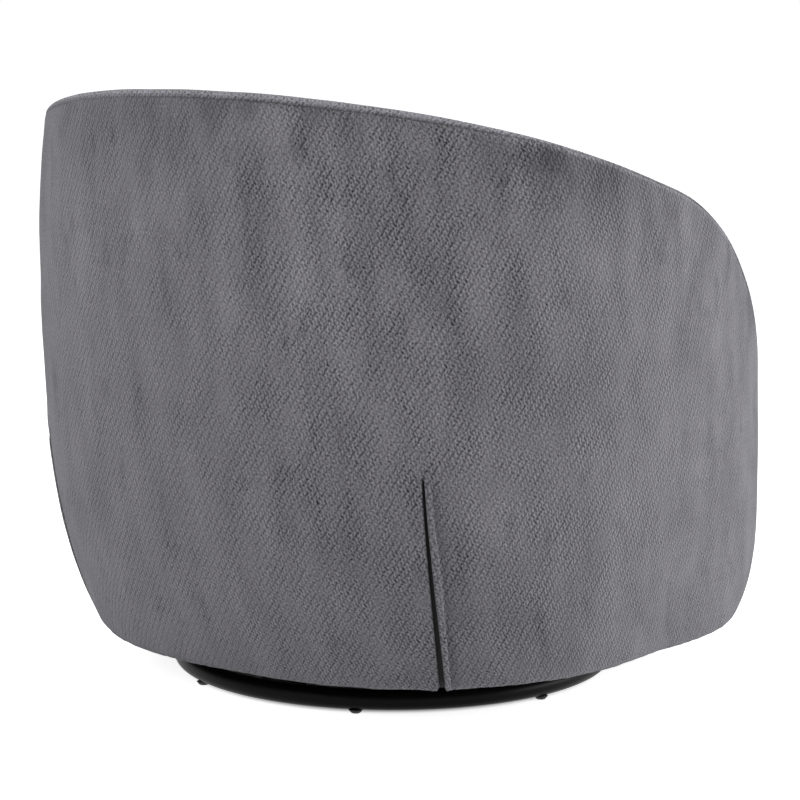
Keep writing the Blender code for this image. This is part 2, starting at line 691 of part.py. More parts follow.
def make_ribs(material):
    """Plywood ribs that shape the back and arms, each with a lightening slot."""
    bottom = BOARD_TOP + GAP
    for index, column in enumerate(RIB_COLUMNS):
        angle = column * COLUMN_ANGLE
        half_turn = math.degrees(RIB_THICKNESS / 2 / (plan_radius(angle) - INNER_LINER_INSET))
        sides = (angle - half_turn, angle + half_turn)
        top = min(rail_underside(side) for side in sides) - RIB_TOP_GAP
        outer_edge = []
        for height in rib_heights(bottom, top, liner_rows(angle)):
            reach = min(faceted_radius(side, height, liner_rows(side)) for side in sides)
            outer_edge.append((reach - RIB_INSET, height))
        inner_edge = []
        for height in reversed(rib_heights(bottom, top, inner_rows(angle))):
            reach = max(faceted_radius(side, height, inner_rows(side)) for side in sides)
            inner_edge.append((reach - RIB_INSET - RIB_DEPTH, height))
        rib = plate_on_edge(f"rib_{index + 1}", angle, outer_edge + inner_edge, RIB_THICKNESS, material)
        slot_low = bottom + RIB_SLOT_MARGIN
        slot_high = min(slot_low + RIB_SLOT_LENGTH, top - RIB_SLOT_MARGIN)
        slot = []
        for end, start_turn in ((slot_low, 180), (slot_high, 0)):
            centre = shell_radius(angle, end) - RIB_INSET - RIB_DEPTH / 2
            for step in range(SLOT_END_STEPS + 1):
                turn = math.radians(start_turn + 180 * step / SLOT_END_STEPS)
                slot.append((centre + RIB_SLOT_WIDTH / 2 * math.cos(turn),
                             end + RIB_SLOT_WIDTH / 2 * math.sin(turn)))
        cutter = plate_on_edge(f"rib_slot_{index + 1}", angle, slot, RIB_THICKNESS + 2 * OVERRUN, material)
        cut(rib, as_cutter(cutter))


def shell_columns():
    """Plan angles of the shell's columns, from one arm end to the other."""
    return [-ARM_END_ANGLE + COLUMN_ANGLE * index for index in range(COLUMN_COUNT + 1)]


def wall_columns():
    """Plan angles of the columns that all layers of the wall share at the rim."""
    return [angle for angle, _ in cover_columns(BACK_WIDEST_HEIGHT, False)]


def timber_columns():
    """Wall columns that lie over the ribs."""
    return [angle for angle in wall_columns() if abs(angle) < TIMBER_END_ANGLE]


def make_top_rail(material):
    """Laminated rail that follows the rim on top of the ribs."""
    sections = []
    for angle in timber_columns():
        low = rail_underside(angle)
        high = low + TOP_RAIL_THICKNESS
        corners = []
        for height in (low, high):
            corners.append((faceted_radius(angle, height, liner_rows(angle)) - RIB_INSET, height))
        for height in (high, low):
            corners.append((faceted_radius(angle, height, inner_rows(angle)) - RIB_INSET - RIB_DEPTH, height))
        sections.append([plan_point(angle, radius, height) for radius, height in corners])
    loft("top_rail", sections, material)


def make_timber(name, centre, size, material):
    """Planed length of timber with eased edges."""
    maker = bmesh.new()
    bmesh.ops.create_cube(maker, size=1)
    bmesh.ops.scale(maker, vec=size, verts=maker.verts)
    timber = finish(name, maker, material, False)
    timber.location = centre
    bevel = timber.modifiers.new("eased_edges", "BEVEL")
    bevel.width = TIMBER_EDGE
    bevel.segments = 1


def make_seat_frame(material):
    """Four rails on corner posts that carry the seat springs."""
    rail_height = RAIL_TOP - RAIL_HEIGHT / 2
    side_x = (FRAME_WIDTH - RAIL_THICKNESS) / 2
    middle_y = (FRAME_REAR - FRAME_FRONT) / 2
    side_length = FRAME_FRONT + FRAME_REAR
    cross_length = FRAME_WIDTH - 2 * RAIL_THICKNESS - 2 * GAP
    for name, side in (("side_rail_right", -1), ("side_rail_left", 1)):
        size = (RAIL_THICKNESS, side_length, RAIL_HEIGHT)
        make_timber(name, (side * side_x, middle_y, rail_height), size, material)
    front_y = RAIL_THICKNESS / 2 - FRAME_FRONT
    rear_y = FRAME_REAR - RAIL_THICKNESS / 2
    for name, y in (("front_rail", front_y), ("rear_rail", rear_y)):
        make_timber(name, (0, y, rail_height), (cross_length, RAIL_THICKNESS, RAIL_HEIGHT), material)
    post_bottom = BOARD_TOP + GAP
    post_top = RAIL_TOP - RAIL_HEIGHT - GAP
    post_x = (FRAME_WIDTH - POST_SIDE) / 2
    ends = (("front", POST_SIDE / 2 - FRAME_FRONT), ("rear", FRAME_REAR - POST_SIDE / 2))
    for end_name, y in ends:
        for side_name, side in (("right", -1), ("left", 1)):
            centre = (side * post_x, y, (post_bottom + post_top) / 2)
            size = (POST_SIDE, POST_SIDE, post_top - post_bottom)
            make_timber(f"post_{end_name}_{side_name}", centre, size, material)


def make_springs(material):
    """Zigzag springs, arched from the front rail to the rear rail."""
    front = RAIL_THICKNESS / 2 - FRAME_FRONT
    rear = FRAME_REAR - RAIL_THICKNESS / 2
    steps = SPRING_HALF_LOOPS * POINTS_PER_HALF_LOOP
    for index in range(SPRING_COUNT):
        across = (index - (SPRING_COUNT - 1) / 2) * SPRING_SPACING
        curve = bpy.data.curves.new(f"seat_spring_{index + 1}", "CURVE")
        curve.dimensions = "3D"
        curve.bevel_depth = SPRING_WIRE / 2
        curve.bevel_resolution = 1
        curve.use_fill_caps = True
        spline = curve.splines.new("POLY")
        spline.points.add(steps)
        for step, point in enumerate(spline.points):
            share = step / steps
            phase = math.pi * SPRING_HALF_LOOPS * share
            x = across + SPRING_HALF_WIDTH * math.sin(phase)
            y = mix(front, rear, share) - SPRING_SQUARENESS * math.sin(2 * phase)
            lift = SPRING_CROWN * math.sin(math.pi * share)
            point.co = (x, y, RAIL_TOP + GAP + SPRING_WIRE / 2 + lift, 1)
        spline.use_smooth = True
        curve.materials.append(material)
        spring = bpy.data.objects.new(f"seat_spring_{index + 1}", curve)
        bpy.context.collection.objects.link(spring)


# Upholstery


def dart_angle(height):
    """Plan angle of a dart's slit, which slants towards the side as it goes down."""
    share = clamp((DART_TOP_HEIGHT - height) / (DART_TOP_HEIGHT - HEM_HEIGHT))
    return mix(DART_TOP_ANGLE, DART_HEM_ANGLE, share)


def dart_columns(height):
    """Offsets in plan from a dart's slit, paired with how far the surface stands proud there."""
    share = clamp((DART_TOP_HEIGHT - height) / (DART_TOP_HEIGHT - HEM_HEIGHT))
    half = mix(DART_START_WIDTH, DART_SLIT_WIDTH, share) / 2
    fade = smooth((DART_TOP_HEIGHT - height) / DART_FADE)
    depth = -DART_DEPTH * fade
    ridge = DART_RIDGE_HEIGHT * fade
    ridge_end = half + DART_RIDGE_WIDTH
    return (
        (-half - DART_BLEND, 0.0), (-half, 0.0), (-half / 2, depth), (half / 2, depth),
        (half, ridge), (ridge_end, ridge), (ridge_end + DART_RIDGE_HEIGHT, 0.0),
    )


def cover_columns(height, with_darts):
    """Plan angles of the back cover's columns at a height, with each column's relief."""
    columns = []
    near = DART_CLEAR_SHARE * COLUMN_ANGLE
    for angle in shell_columns():
        centre = math.copysign((DART_TOP_ANGLE + DART_HEM_ANGLE) / 2, angle)
        if abs(angle - centre) > near:
            columns.append((angle, 0.0))
    for side in (-1, 1):
        middle = dart_angle(height)
        for step in (-1, 1):
            columns.append((side * (middle + step * COLUMN_ANGLE * DART_SIDE_SHARE), 0.0))
        if not with_darts:
            columns.append((side * middle, 0.0))
        else:
            radius = shell_radius(middle, height)
            for offset, relief in dart_columns(height):
                columns.append((side * (middle + math.degrees(offset / radius)), relief))
    return sorted(columns)


def make_back_cover(material):
    """Outer cover of back and arms with its turned-in hem and two darts."""
    count = len(cover_columns(HEM_HEIGHT, True))
    sections = []
    for index in range(count):
        angle_at_rim = cover_columns(BACK_WIDEST_HEIGHT, True)[index][0]
        top = rim_height(angle_at_rim) - COVER_TOP_DROP
        section = []
        for height in layer_heights(LOWER_ROW_SHARES, UPPER_ROW_SHARES, top):
            angle, relief = cover_columns(height, True)[index]
            radius = shell_radius(angle, height) - hem_rounding(height) + relief
            section.append(plan_point(angle, radius, height))
        for height in reversed(layer_heights(INNER_ROW_SHARES, INNER_UPPER_ROW_SHARES, top, HEM_TOP)):
            angle = cover_columns(height, True)[index][0]
            section.append(plan_point(angle, shell_radius(angle, height) - COVER_THICKNESS, height))
        angle = cover_columns(HEM_HEIGHT, True)[index][0]
        hem_edge = shell_radius(angle, HEM_HEIGHT) - HEM_TURN_IN
        section.append(plan_point(angle, hem_edge, HEM_TOP))
        section.append(plan_point(angle, hem_edge, HEM_HEIGHT))
        sections.append(section)
    loft("back_cover", sections, material)


def make_back_liner(material):
    """Thin board that backs the outer cover."""
    count = len(cover_columns(HEM_HEIGHT, False))
    sections = []
    for index in range(count):
        angle_at_rim = cover_columns(BACK_WIDEST_HEIGHT, False)[index][0]
        heights = liner_rows(angle_at_rim)
        section = []
        for inset, rows in ((LINER_INSET, heights), (LINER_INSET + LINER_THICKNESS, reversed(heights))):
            for height in rows:
                angle = cover_columns(height, False)[index][0]
                section.append(plan_point(angle, shell_radius(angle, height) - inset, height))
        sections.append(section)
    loft("back_liner", sections, material)


def apron_angles(margin):
    """Plan angles of the front apron's columns, from the right arm's end to the left arm's."""
    start = ARM_END_ANGLE + margin
    end = 360 - start
    return [mix(start, end, index / APRON_COLUMNS) for index in range(APRON_COLUMNS + 1)]


def front_angle(angle):
    """The same plan angle counted from -180 to 180."""
    return angle - 360 if angle > 180 else angle


def make_apron(materials):
    """Front apron cover with its hem, and the curved panel behind it."""
    seam = math.degrees(2 * GAP / (CHAIR_DEPTH / 2))
    sections = []
    for angle in apron_angles(seam):
        turn = front_angle(angle)
        top = rim_height(turn)
        section = []
        for height in layer_heights(LOWER_ROW_SHARES[:-2], (1.0,), top):
            radius = shell_radius(turn, height) - hem_rounding(height)
            section.append(plan_point(turn, radius, height))
        edge = shell_radius(turn, top)
        section.append(plan_point(turn, edge - COVER_THICKNESS, top))
        for height in reversed(layer_heights(INNER_ROW_SHARES, (1.0,), top - LAYER_TOP_DROP, HEM_TOP)):
            section.append(plan_point(turn, shell_radius(turn, height) - COVER_THICKNESS, height))
        hem_edge = shell_radius(turn, HEM_HEIGHT) - HEM_TURN_IN
        section.append(plan_point(turn, hem_edge, HEM_TOP))
        section.append(plan_point(turn, hem_edge, HEM_HEIGHT))
        sections.append(section)
    loft("front_apron", sections, materials["grey_fabric"])

    sections = []
    for angle in apron_angles(seam):
        turn = front_angle(angle)
        heights = layer_heights(INNER_ROW_SHARES, (1.0,), rim_height(turn) - LAYER_TOP_DROP, BOARD_BOTTOM)
        section = []
        for inset, rows in ((LINER_INSET, heights), (LINER_INSET + FRONT_PANEL_THICKNESS, reversed(heights))):
            for height in rows:
                section.append(plan_point(turn, shell_radius(turn, height) - inset, height))
        sections.append(section)
    loft("front_panel", sections, materials["plywood"])


def make_rim_band(material):
    """Padded band on top of back and arms, seamed to the outer cover at its lower edge."""
    sections = []
    for angle in wall_columns():
        top = rim_height(angle)
        bottom = top - RIM_BAND_THICKNESS
        outer = shell_radius(angle, top)
        wall = wall_thickness(angle, top)
        inner = outer - wall
        split = outer - min(PAD_INSET, RIM_BAND_SPLIT_SHARE * wall)
        corners = (
            (outer, bottom), (outer, top - RIM_BAND_EDGE / 2), (outer - RIM_BAND_EDGE, top),
            (mix(outer, inner, 0.5), top + RIM_BAND_CROWN), (inner + RIM_BAND_EDGE * 2, top),
            (inner, top - RIM_BAND_EDGE), (inner, bottom), (split, bottom), (outer - COVER_THICKNESS, bottom),
        )
        sections.append([plan_point(angle, radius, height) for radius, height in corners])
    loft("rim_band", sections, material)


def make_inner_wall(materials):
    """Liner on the ribs' inner edges and the padded inside of back and arms."""
    liner_sections = []
    pad_sections = []
    for angle in wall_columns():
        top = rim_height(angle) - LAYER_TOP_DROP
        if abs(angle) < TIMBER_END_ANGLE:
            corners = []
            for height in inner_rows(angle):
                corners.append((shell_radius(angle, height) - INNER_LINER_INSET, height))
            for height in reversed(inner_rows(angle)):
                inset = INNER_LINER_INSET + INNER_LINER_THICKNESS
                corners.append((shell_radius(angle, height) - inset, height))
            liner_sections.append([plan_point(angle, radius, height) for radius, height in corners])
        corners = []
        for height in inner_rows(angle):
            inset = min(PAD_INSET, wall_thickness(angle, top) - PAD_SOFTNESS)
            corners.append((shell_radius(angle, height) - inset, height))
        for share in PAD_FACE_ROW_SHARES:
            height = mix(PAD_BOTTOM, top, share)
            rounding = PAD_SOFTNESS * (2 * share - 1) ** 6
            inner = shell_radius(angle, height) - wall_thickness(angle, height) + rounding
            corners.append((inner, height))
        pad_sections.append([plan_point(angle, radius, height) for radius, height in corners])
    loft("inner_liner", liner_sections, materials["fibreboard"])
    loft("inner_pad", pad_sections, materials["grey_fabric"])


def seat_columns():
    """Plan angles of the seat's columns: those of the wall, then those of the apron."""
    return wall_columns() + [front_angle(angle) for angle in apron_angles(0)[1:-1]]


def seat_radius(angle):
    """Plan outline of the seat, against the pads at the sides and flush with the apron in front."""
    turn = abs(angle)
    faces = []
    for height in (APRON_TOP, CUSHION_BOTTOM + CUSHION_THICKNESS):
        faces.append(shell_radius(angle, height) - wall_thickness(angle, height))
    pad_face = min(faces) - CUSHION_SIDE_GAP
    panel_face = shell_radius(angle, APRON_TOP) - BOARD_INSET - CUSHION_SIDE_GAP
    apron_face = shell_radius(angle, APRON_TOP) - CUSHION_EDGE_TUCK / 2
    to_panel = smooth((turn - ARM_END_ANGLE) / SEAT_BLEND_ANGLE)
    to_front = smooth((turn - SEAT_FRONT_ANGLE) / SEAT_BLEND_ANGLE)
    return mix(mix(pad_face, panel_face, to_panel), apron_face, to_front)


def make_deck(material):
    """Felt deck laid over the springs."""
    maker = bmesh.new()
    rings = []
    for height in (DECK_BOTTOM, DECK_BOTTOM + DECK_THICKNESS):
        ring = []
        for angle in seat_columns():
            limit = shell_radius(angle, APRON_TOP) - BOARD_INSET - CUSHION_SIDE_GAP
            radius = min(seat_radius(angle), limit)
            ring.append(maker.verts.new(plan_point(angle, radius, height)))
        rings.append(ring)
    maker.faces.new(rings[0])
    maker.faces.new(rings[1])
    for index in range(len(rings[0])):
        maker.faces.new((rings[0][index - 1], rings[0][index], rings[1][index], rings[1][index - 1]))
    finish("seat_deck", maker, material)


def make_cushion(material):
    """Boxed seat cushion: flat below, sides drawn in at the seams, crowned on top."""
    top = CUSHION_BOTTOM + CUSHION_THICKNESS
    maker = bmesh.new()
    rings = []
    for radius_share, tuck_share, height_share, crown_share in CUSHION_ROW_SHARES:
        height = CUSHION_BOTTOM + CUSHION_THICKNESS * height_share + CUSHION_CROWN * crown_share
        ring = []
        for angle in seat_columns():
            radius = seat_radius(angle) * radius_share - CUSHION_EDGE_TUCK * tuck_share
            ring.append(maker.verts.new(plan_point(angle, radius, height)))
        rings.append(ring)
    for lower, upper in zip(rings, rings[1:]):
        for index in range(len(lower)):
            maker.faces.new((lower[index - 1], lower[index], upper[index], upper[index - 1]))
    for ring, height in ((rings[0], CUSHION_BOTTOM), (rings[-1], top + CUSHION_CROWN)):
        middle = maker.verts.new((0, 0, height))
        for index in range(len(ring)):
            maker.faces.new((ring[index - 1], ring[index], middle))
    finish("seat_cushion", maker, material)


def main():
    """Clear the scene and model every piece."""
    for old in list(bpy.data.objects):
        bpy.data.objects.remove(old)
    materials = make_materials()
    make_ring(materials["black_steel"])
    make_cross(materials["black_steel"])
    make_glides(materials["black_plastic"])
    make_bearing(materials)
    make_screws(materials["screw_steel"])
    make_boards(materials)
    make_ribs(materials["plywood"])
    make_top_rail(materials["plywood"])
    make_seat_frame(materials["timber"])
    make_springs(materials["spring_steel"])
    make_back_liner(materials["fibreboard"])
    make_back_cover(materials["grey_fabric"])
    make_apron(materials)
    make_rim_band(materials["grey_fabric"])
    make_inner_wall(materials)
    make_deck(materials["felt"])
    make_cushion(materials["grey_fabric"])


main()
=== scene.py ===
import math
from collections import namedtuple

import bpy
import numpy as np
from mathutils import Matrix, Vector, noise


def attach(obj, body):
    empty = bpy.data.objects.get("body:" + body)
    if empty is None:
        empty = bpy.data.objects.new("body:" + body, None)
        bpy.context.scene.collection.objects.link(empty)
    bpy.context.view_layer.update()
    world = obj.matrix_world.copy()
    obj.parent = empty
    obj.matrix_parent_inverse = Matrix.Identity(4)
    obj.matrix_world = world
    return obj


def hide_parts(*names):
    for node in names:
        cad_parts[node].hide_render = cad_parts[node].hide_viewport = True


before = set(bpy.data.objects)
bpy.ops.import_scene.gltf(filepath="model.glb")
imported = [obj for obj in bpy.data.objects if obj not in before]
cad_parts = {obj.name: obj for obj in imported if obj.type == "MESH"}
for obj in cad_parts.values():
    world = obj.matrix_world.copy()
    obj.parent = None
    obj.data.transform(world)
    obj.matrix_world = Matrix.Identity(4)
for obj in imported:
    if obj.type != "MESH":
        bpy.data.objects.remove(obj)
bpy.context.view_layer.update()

# Lengths are in metres and angles in degrees, as in the CAD.
# Plan angles are measured from the middle of the back (+Y) towards the sitter's right (-X).

# Outer shell: its plan, its widest height, its tuck towards the hem and its lean towards the rim.
# Pairs are for the back and the front.
HALF_WIDTH = 0.400
HALF_DEPTH = 0.390
PLAN_POWERS = (2.14, 2.53)
HEM = 0.047
WIDEST = (0.487, 0.205)
TUCK_BACK = 0.085
TUCK_SIDE = 0.065
TUCK_FRONT = 0.025
TUCK_POWERS = (3.4, 4.0)
LEANS = (0.014, 0.046)
RIM_TOP = 0.677
RIM_STATIONS = np.array([
    (0, 0.6775), (12, 0.676), (25, 0.670), (35, 0.662), (45, 0.6508), (57, 0.633), (70, 0.607), (80, 0.584),
    (90, 0.5605), (100, 0.520), (110, 0.459), (120, 0.392), (134, 0.322), (152, 0.300), (180, 0.300),
])

# Padded wall: pairs of thicknesses for the back and the arms, at the seat and at the rim, and the end's
ARM_END = 130.0
WALL_LOW = (0.170, 0.125)
WALL_TOP = (0.095, 0.105)
WALL_END = 0.024
RIM_FALL = 0.0060

# Plan angles over which one form of the shell passes into the next
BACK_TO_SIDE = (0, 60)
SIDE_TO_FRONT = (95, 132)
BACK_TO_ARM = (15, 75)
ARM_TO_END = (112, 130)
PAD_TO_PANEL = (130, 142)
PANEL_TO_APRON = (148, 160)
END_TO_APRON = (130, 140)

# Cover drawn in at the rear corners, and the pucker over the darts where it isn't
DRAWN_DEPTH = 0.0040
DRAWN_ANGLE = 57
DRAWN_WIDTH = 14
DRAWN_TOP = 0.44
DRAWN_FADE = 0.08
PUCKER_HEIGHT = 0.290
PUCKER_REACH = 0.020

# Seam under the rim band: drops and pinches for the arms and the back, and where they change
LIP_DROPS = (0.0024, 0.0085)
PINCHES = (0.0014, 0.0022)
LIP_FADE = (36, 72)
SEAM_FADE = (-20, 20)
SEAM_LAP = 0.0008
SEAM_ROUND = 0.0065

# Covers: thickness, turned-in hem, and edges that are just short of a whole quarter round
COVER = 0.007
HEM_TURN = 0.038
HEM_FOLD = 0.003
HEM_ROUND = 0.012
HEM_INSET = 0.006
ROUND_SHARE = 0.98

# Marks of brushed pile (width, height, seed, strength) and ripples of padding (size, height, seed)
BRUSH_MARKS = ((0.030, 0.055, 6.4, 1.0), (0.012, 0.040, 2.1, 0.5))
COVER_RIPPLES = ((0.085, 0.0011, 1), (0.030, 0.0003, 2))
BAND_RIPPLE = (0.07, 0.0006, 3)
PAD_RIPPLE = (0.09, 0.0016, 4)

# Darts at the two rear corners, and the fold that stands along one side of each
DART_TOP = 0.288
DART_TOP_ANGLE = 41.2
DART_HEM_ANGLE = 45.85
DART_BOW = 2.4
DART_THREAD = 0.0004
DART_WIDTH = 0.0026
DART_WIDENING = 0.0042
DART_CLOSING = 0.007
DART_DEPTH = 0.0062
DART_LIP = 0.0013
DART_FADE = 0.006
FOLD_FADE = 0.018
FOLD_WIDTH = 0.0052
FOLD_SWELL = 0.0026
FOLD_FOOT = 0.0014
FOLD_RISE = 0.0018
FOLD_VALLEY = 0.0016
DART_ZONE = 5.6
DART_REACH = 14.0

# Cover's mesh: shares of its height, shares across a slit and distances beside it
COVER_RISE = np.concatenate([np.linspace(0, 0.05, 9)[:-1], np.linspace(0.05, 0.97, 84),
                             (0.978, 0.985, 0.991, 0.996, 1)])
SLIT_SHARES = (-0.96, -0.75, -0.3, 0.3, 0.75, 0.96)
SIDE_STEPS = np.array((0, 0.15, 0.35, 0.6, 0.9, 1.3, 1.8, 2.4, 3.1, 3.9, 4.7, 5.5, 6.1, 6.7, 7.4, 8.2, 9.4,
                       11, 13, 16, 20, 25)) / 1000

# Seat: faces round it, deck with its rings (share of the outline, inset, rise), cushion
SEAT = 0.300
SEAT_GAP = 0.003
PAD_BOTTOM = 0.287
PANEL_BACK = 0.0126
APRON_LAP = 0.0045
APRON_WIDTH = 0.0148
DECK_BOTTOM = 0.2940
DECK_INSET = 0.0156
DECK_RINGS = ((0.25, 0, 0), (0.5, 0, 0), (0.75, 0, 0), (0.93, 0, 0), (1, 0.0012, 0.0003), (1, 0, 0.0015))
CUSHION_LOW = 0.3003
CUSHION_SEAM = 0.4253
CUSHION_HIGH = 0.4473
CUSHION_INSET = 0.004
CUSHION_VOXEL = 0.0058
SWELL_CAP = 0.026
PIPING_RADIUS = 0.0029
PIPING_PROUD = 0.0012
SEAM_TILT = 0.6

# Dust cloth under the base board
DUST_TOP = 0.0499
DUST_BOTTOM = 0.0492
DUST_SAG = 0.0005
DUST_HOLE = 0.1508
DUST_INSET = 0.0405

# Base: ring of tube and feet, whose profile is given as radius and height
RING_RADIUS = 0.246
RING_HEIGHT = 0.0154
TUBE_RADIUS = 0.0114
FEET = 7
FIRST_FOOT = 14.4
FOOT_PROFILE = ((0.0005, 0.0), (0.0046, 0.0), (0.0055, 0.0006), (0.0068, 0.0022), (0.0080, 0.0037),
                (0.0005, 0.0037))

# Weave: repeat, slant and curve on the cover, waves (cycles across, cycles up, strength, turns)
WEAVE_ACROSS = 0.0085
WEAVE_UP = 0.0143
WEAVE_SLANT = 0.16
WEAVE_CURVE = 0.26
WEAVE_WAVES = (
    (1, -1, 0.85, -0.175), (2, 1, 0.97, 0.0), (1, 3, 0.77, 0.0), (2, -2, 0.60, 0.10), (1, -2, 0.40, 0.09),
    (3, 0, 0.50, -0.21), (1, -3, 0.30, -0.28), (1, 1, 0.26, 0.31), (2, 2, 0.32, 0.24), (2, -3, 0.30, 0.33),
    (2, 3, 0.28, -0.43),
)

# How much more the weave shows at plan angles: painted weave shading, strongest on the back towards the
# sitter's right corner, weakest just left of the middle and on the arms
WEAVE_SHADING_BY_ANGLE = ((-30, -18, -7, 2, 12, 22, 29, 40, 52, 62, 73, 84),
              (-0.10, -0.15, -0.30, -0.18, 0.0, 0.17, 0.27, 0.36, 0.28, 0.01, -0.28, -0.24))

# How strongly the weave and the other marks show, and how deep the weave is
WEAVE_TONE = 0.42
KNOT_TONE = 2.4
FLECK_TONE = 2.2
WEAVE_DEPTH = 0.0010
FUZZ_TONE = 0.5
STREAK_TONE = 0.75
BLOTCH_TONE = 0.40
SMUDGE_TONE = -1.8
# Strength of the painted shade and highlight stored on the pieces
SHADE_TONE = -0.75
PLAIN_TONE = 0.93
DARKEST_TONE = 0.05

# Camera that matches the photograph
CAMERA_TURN = 216.82
CAMERA_DISTANCE = 3.1
CAMERA_HEIGHT = 0.767
CAMERA_AIM = 0.3088
CAMERA_LENS = 121.25
CAMERA_SENSOR = 36
CAMERA_SHIFT = 0.0085

# Studio: even light, floor, and lamps (name, plan angle, distance, height, size, power)
WORLD_LEVEL = 0.25
FLOOR_SIZE = 40
FLOOR_DROP = 0.0002
FLOOR_GLOW = 0.86
SHADOW_RADIUS = 0.224
GLOW_RADIUS = 0.250
LAMP_AIM = 0.33
LAMPS = (
    ("lamp_back", 0, 2.6, 2.0, 1.6, 50),
    ("lamp_side", 120, 2.6, 0.85, 1.6, 67),
    ("lamp_front", -140, 2.8, 1.6, 1.8, 30),
    ("lamp_top", 20, 0.5, 3.0, 2.2, 18),
)


# Curves and angles


def smooth(value):
    """Ease from 0 to 1 with level ends."""
    share = np.clip(value, 0, 1)
    return share * share * (3 - 2 * share)


def ramp(value, start, end):
    """Ease from 0 at the start to 1 at the end."""
    return smooth((value - start) / (end - start))


def mix(start, end, share):
    """Value at a share of the way from start to end."""
    return start + (end - start) * share


def bell(value, middle, width):
    """Rounded bump that is 1 in the middle and fades to 0 on both sides."""
    return np.exp(-((value - middle) / width) ** 2)


def rounding(distance, reach, depth):
    """How far a rounded edge lies back, by the distance from that edge."""
    share = np.clip(1 - distance / reach, 0, 1)
    return depth * (1 - np.sqrt(1 - ROUND_SHARE * share ** 2))


def soft_limit(value, limit, ease):
    """Value that nears its limit gently and never passes it."""
    over = np.maximum(value - (limit - ease), 0)
    return np.where(over > 0, limit - ease * np.exp(-over / ease), value)


def around(count):
    """Plan angles spaced evenly over a full turn."""
    return np.linspace(-180, 180, count + 1)[:-1]


def circle(count):
    """Angles spaced evenly over a full turn, in radians."""
    return np.linspace(0, 2 * np.pi, count + 1)[:-1]


def turned(angles, start):
    """Signed angles from a start, the short way round."""
    return (angles - start + 180) % 360 - 180


def polar(points):
    """Plan angles and radii of points."""
    return np.degrees(np.arctan2(-points[:, 0], points[:, 1])), np.hypot(points[:, 0], points[:, 1])


def place(angle, radius, height):
    """Points at plan angles, radii and heights."""
    turn = np.radians(angle)
    return np.stack(np.broadcast_arrays(-radius * np.sin(turn), radius * np.cos(turn), height), axis=-1)


def outwards(points):
    """Level directions away from the axis of the swivel."""
    level = points * (1, 1, 0)
    return level / np.maximum(np.linalg.norm(level, axis=-1, keepdims=True), 1e-9)


# Shape of the shell


def rim_tangents():
    """Slopes of the rim curve at its stations, flat where it turns."""
    slopes = np.diff(RIM_STATIONS[:, 1]) / np.diff(RIM_STATIONS[:, 0])
    tangents = np.zeros(len(RIM_STATIONS))
    for index in range(1, len(slopes)):
        before, after = slopes[index - 1], slopes[index]
        if before * after > 0:
            tangents[index] = 2 * before * after / (before + after)
    return tangents


RIM_TANGENTS = rim_tangents()


def rim_height(angle):
    """Height of the rim at a plan angle."""
    turn = np.abs(angle)
    index = np.clip(np.searchsorted(RIM_STATIONS[:, 0], turn) - 1, 0, len(RIM_STATIONS) - 2)
    start, low = RIM_STATIONS[index].T
    end, high = RIM_STATIONS[index + 1].T
    span = end - start
    t = (turn - start) / span
    height = (2 * t ** 3 - 3 * t ** 2 + 1) * low + (3 * t ** 2 - 2 * t ** 3) * high
    height += (t ** 3 - 2 * t ** 2 + t) * span * RIM_TANGENTS[index]
    return height + (t ** 3 - t ** 2) * span * RIM_TANGENTS[index + 1]


def plan_radius(angle):
    """Radius of the widest outline of the shell."""
    turn = np.radians(angle)
    power = np.where(np.cos(turn) > 0, *PLAN_POWERS)
    across = np.abs(np.sin(turn)) / HALF_WIDTH
    along = np.abs(np.cos(turn)) / HALF_DEPTH
    return (across ** power + along ** power) ** (-1 / power)


def drawn_in(angle, height):
    """How far the stretched cover lies inside the smooth shell at the rear corners."""
    beside = bell(np.abs(angle), DRAWN_ANGLE, DRAWN_WIDTH)
    pucker = 1 - 0.8 * bell(height, PUCKER_HEIGHT, PUCKER_REACH)
    return DRAWN_DEPTH * beside * pucker * smooth((DRAWN_TOP - height) / DRAWN_FADE)


def shell_radius(angle, height):
    """Radius of the shell's outer face."""
    turn = np.abs(angle)
    to_front = ramp(turn, *SIDE_TO_FRONT)
    tuck = mix(mix(TUCK_BACK, TUCK_SIDE, ramp(turn, *BACK_TO_SIDE)), TUCK_FRONT, to_front)
    tuck_power, widest, lean = (mix(*pair, to_front) for pair in (TUCK_POWERS, WIDEST, LEANS))
    below = np.clip((widest - height) / (widest - HEM), 0, 1)
    above = np.clip((height - widest) / (RIM_TOP - widest), 0, 1)
    radius = plan_radius(angle) - tuck * below ** tuck_power - lean * above ** 2
    return radius - drawn_in(angle, height)


def wall(angle, height):
    """Thickness of the padded wall."""
    turn = np.abs(angle)
    to_arm = ramp(turn, *BACK_TO_ARM)
    to_end = ramp(turn, *ARM_TO_END)
    low, top = (mix(mix(*pair, to_arm), WALL_END, to_end) for pair in (WALL_LOW, WALL_TOP))
    return mix(low, top, np.clip((height - SEAT) / (RIM_TOP - SEAT), 0, 1))


def seat_radius(angle):
    """Plan outline of the space for the seat cushion."""
    turn = np.abs(angle)
    faces = [shell_radius(angle, z) - wall(angle, z) for z in (SEAT, CUSHION_SEAM)]
    pad_face = np.minimum(*faces) - SEAT_GAP
    panel_face = shell_radius(angle, SEAT) - PANEL_BACK - SEAT_GAP
    apron_face = shell_radius(angle, SEAT) - APRON_LAP
    inner = mix(pad_face, panel_face, ramp(turn, *PAD_TO_PANEL))
    return mix(inner, apron_face, ramp(turn, *PANEL_TO_APRON))


def lip_share(angle):
    """Share of the rim's soft roll: all over the middle of the back, none on the arms."""
    return 1 - ramp(np.abs(angle), *LIP_FADE)


def lip_height(angle):
    """How far the seam under the rim band lies below the rim."""
    return mix(*LIP_DROPS, lip_share(angle))


def rim_fall(width):
    """How far the rim's soft top falls towards the sitter over its width."""
    return RIM_FALL * np.minimum(width / WALL_TOP[0], 1)


def seam_show(angle):
    """How plainly the seam under the rim band shows: the depth of its pinch and the strength of its painted
    shade.
    """
    return ramp(angle, *SEAM_FADE)


# Meshes


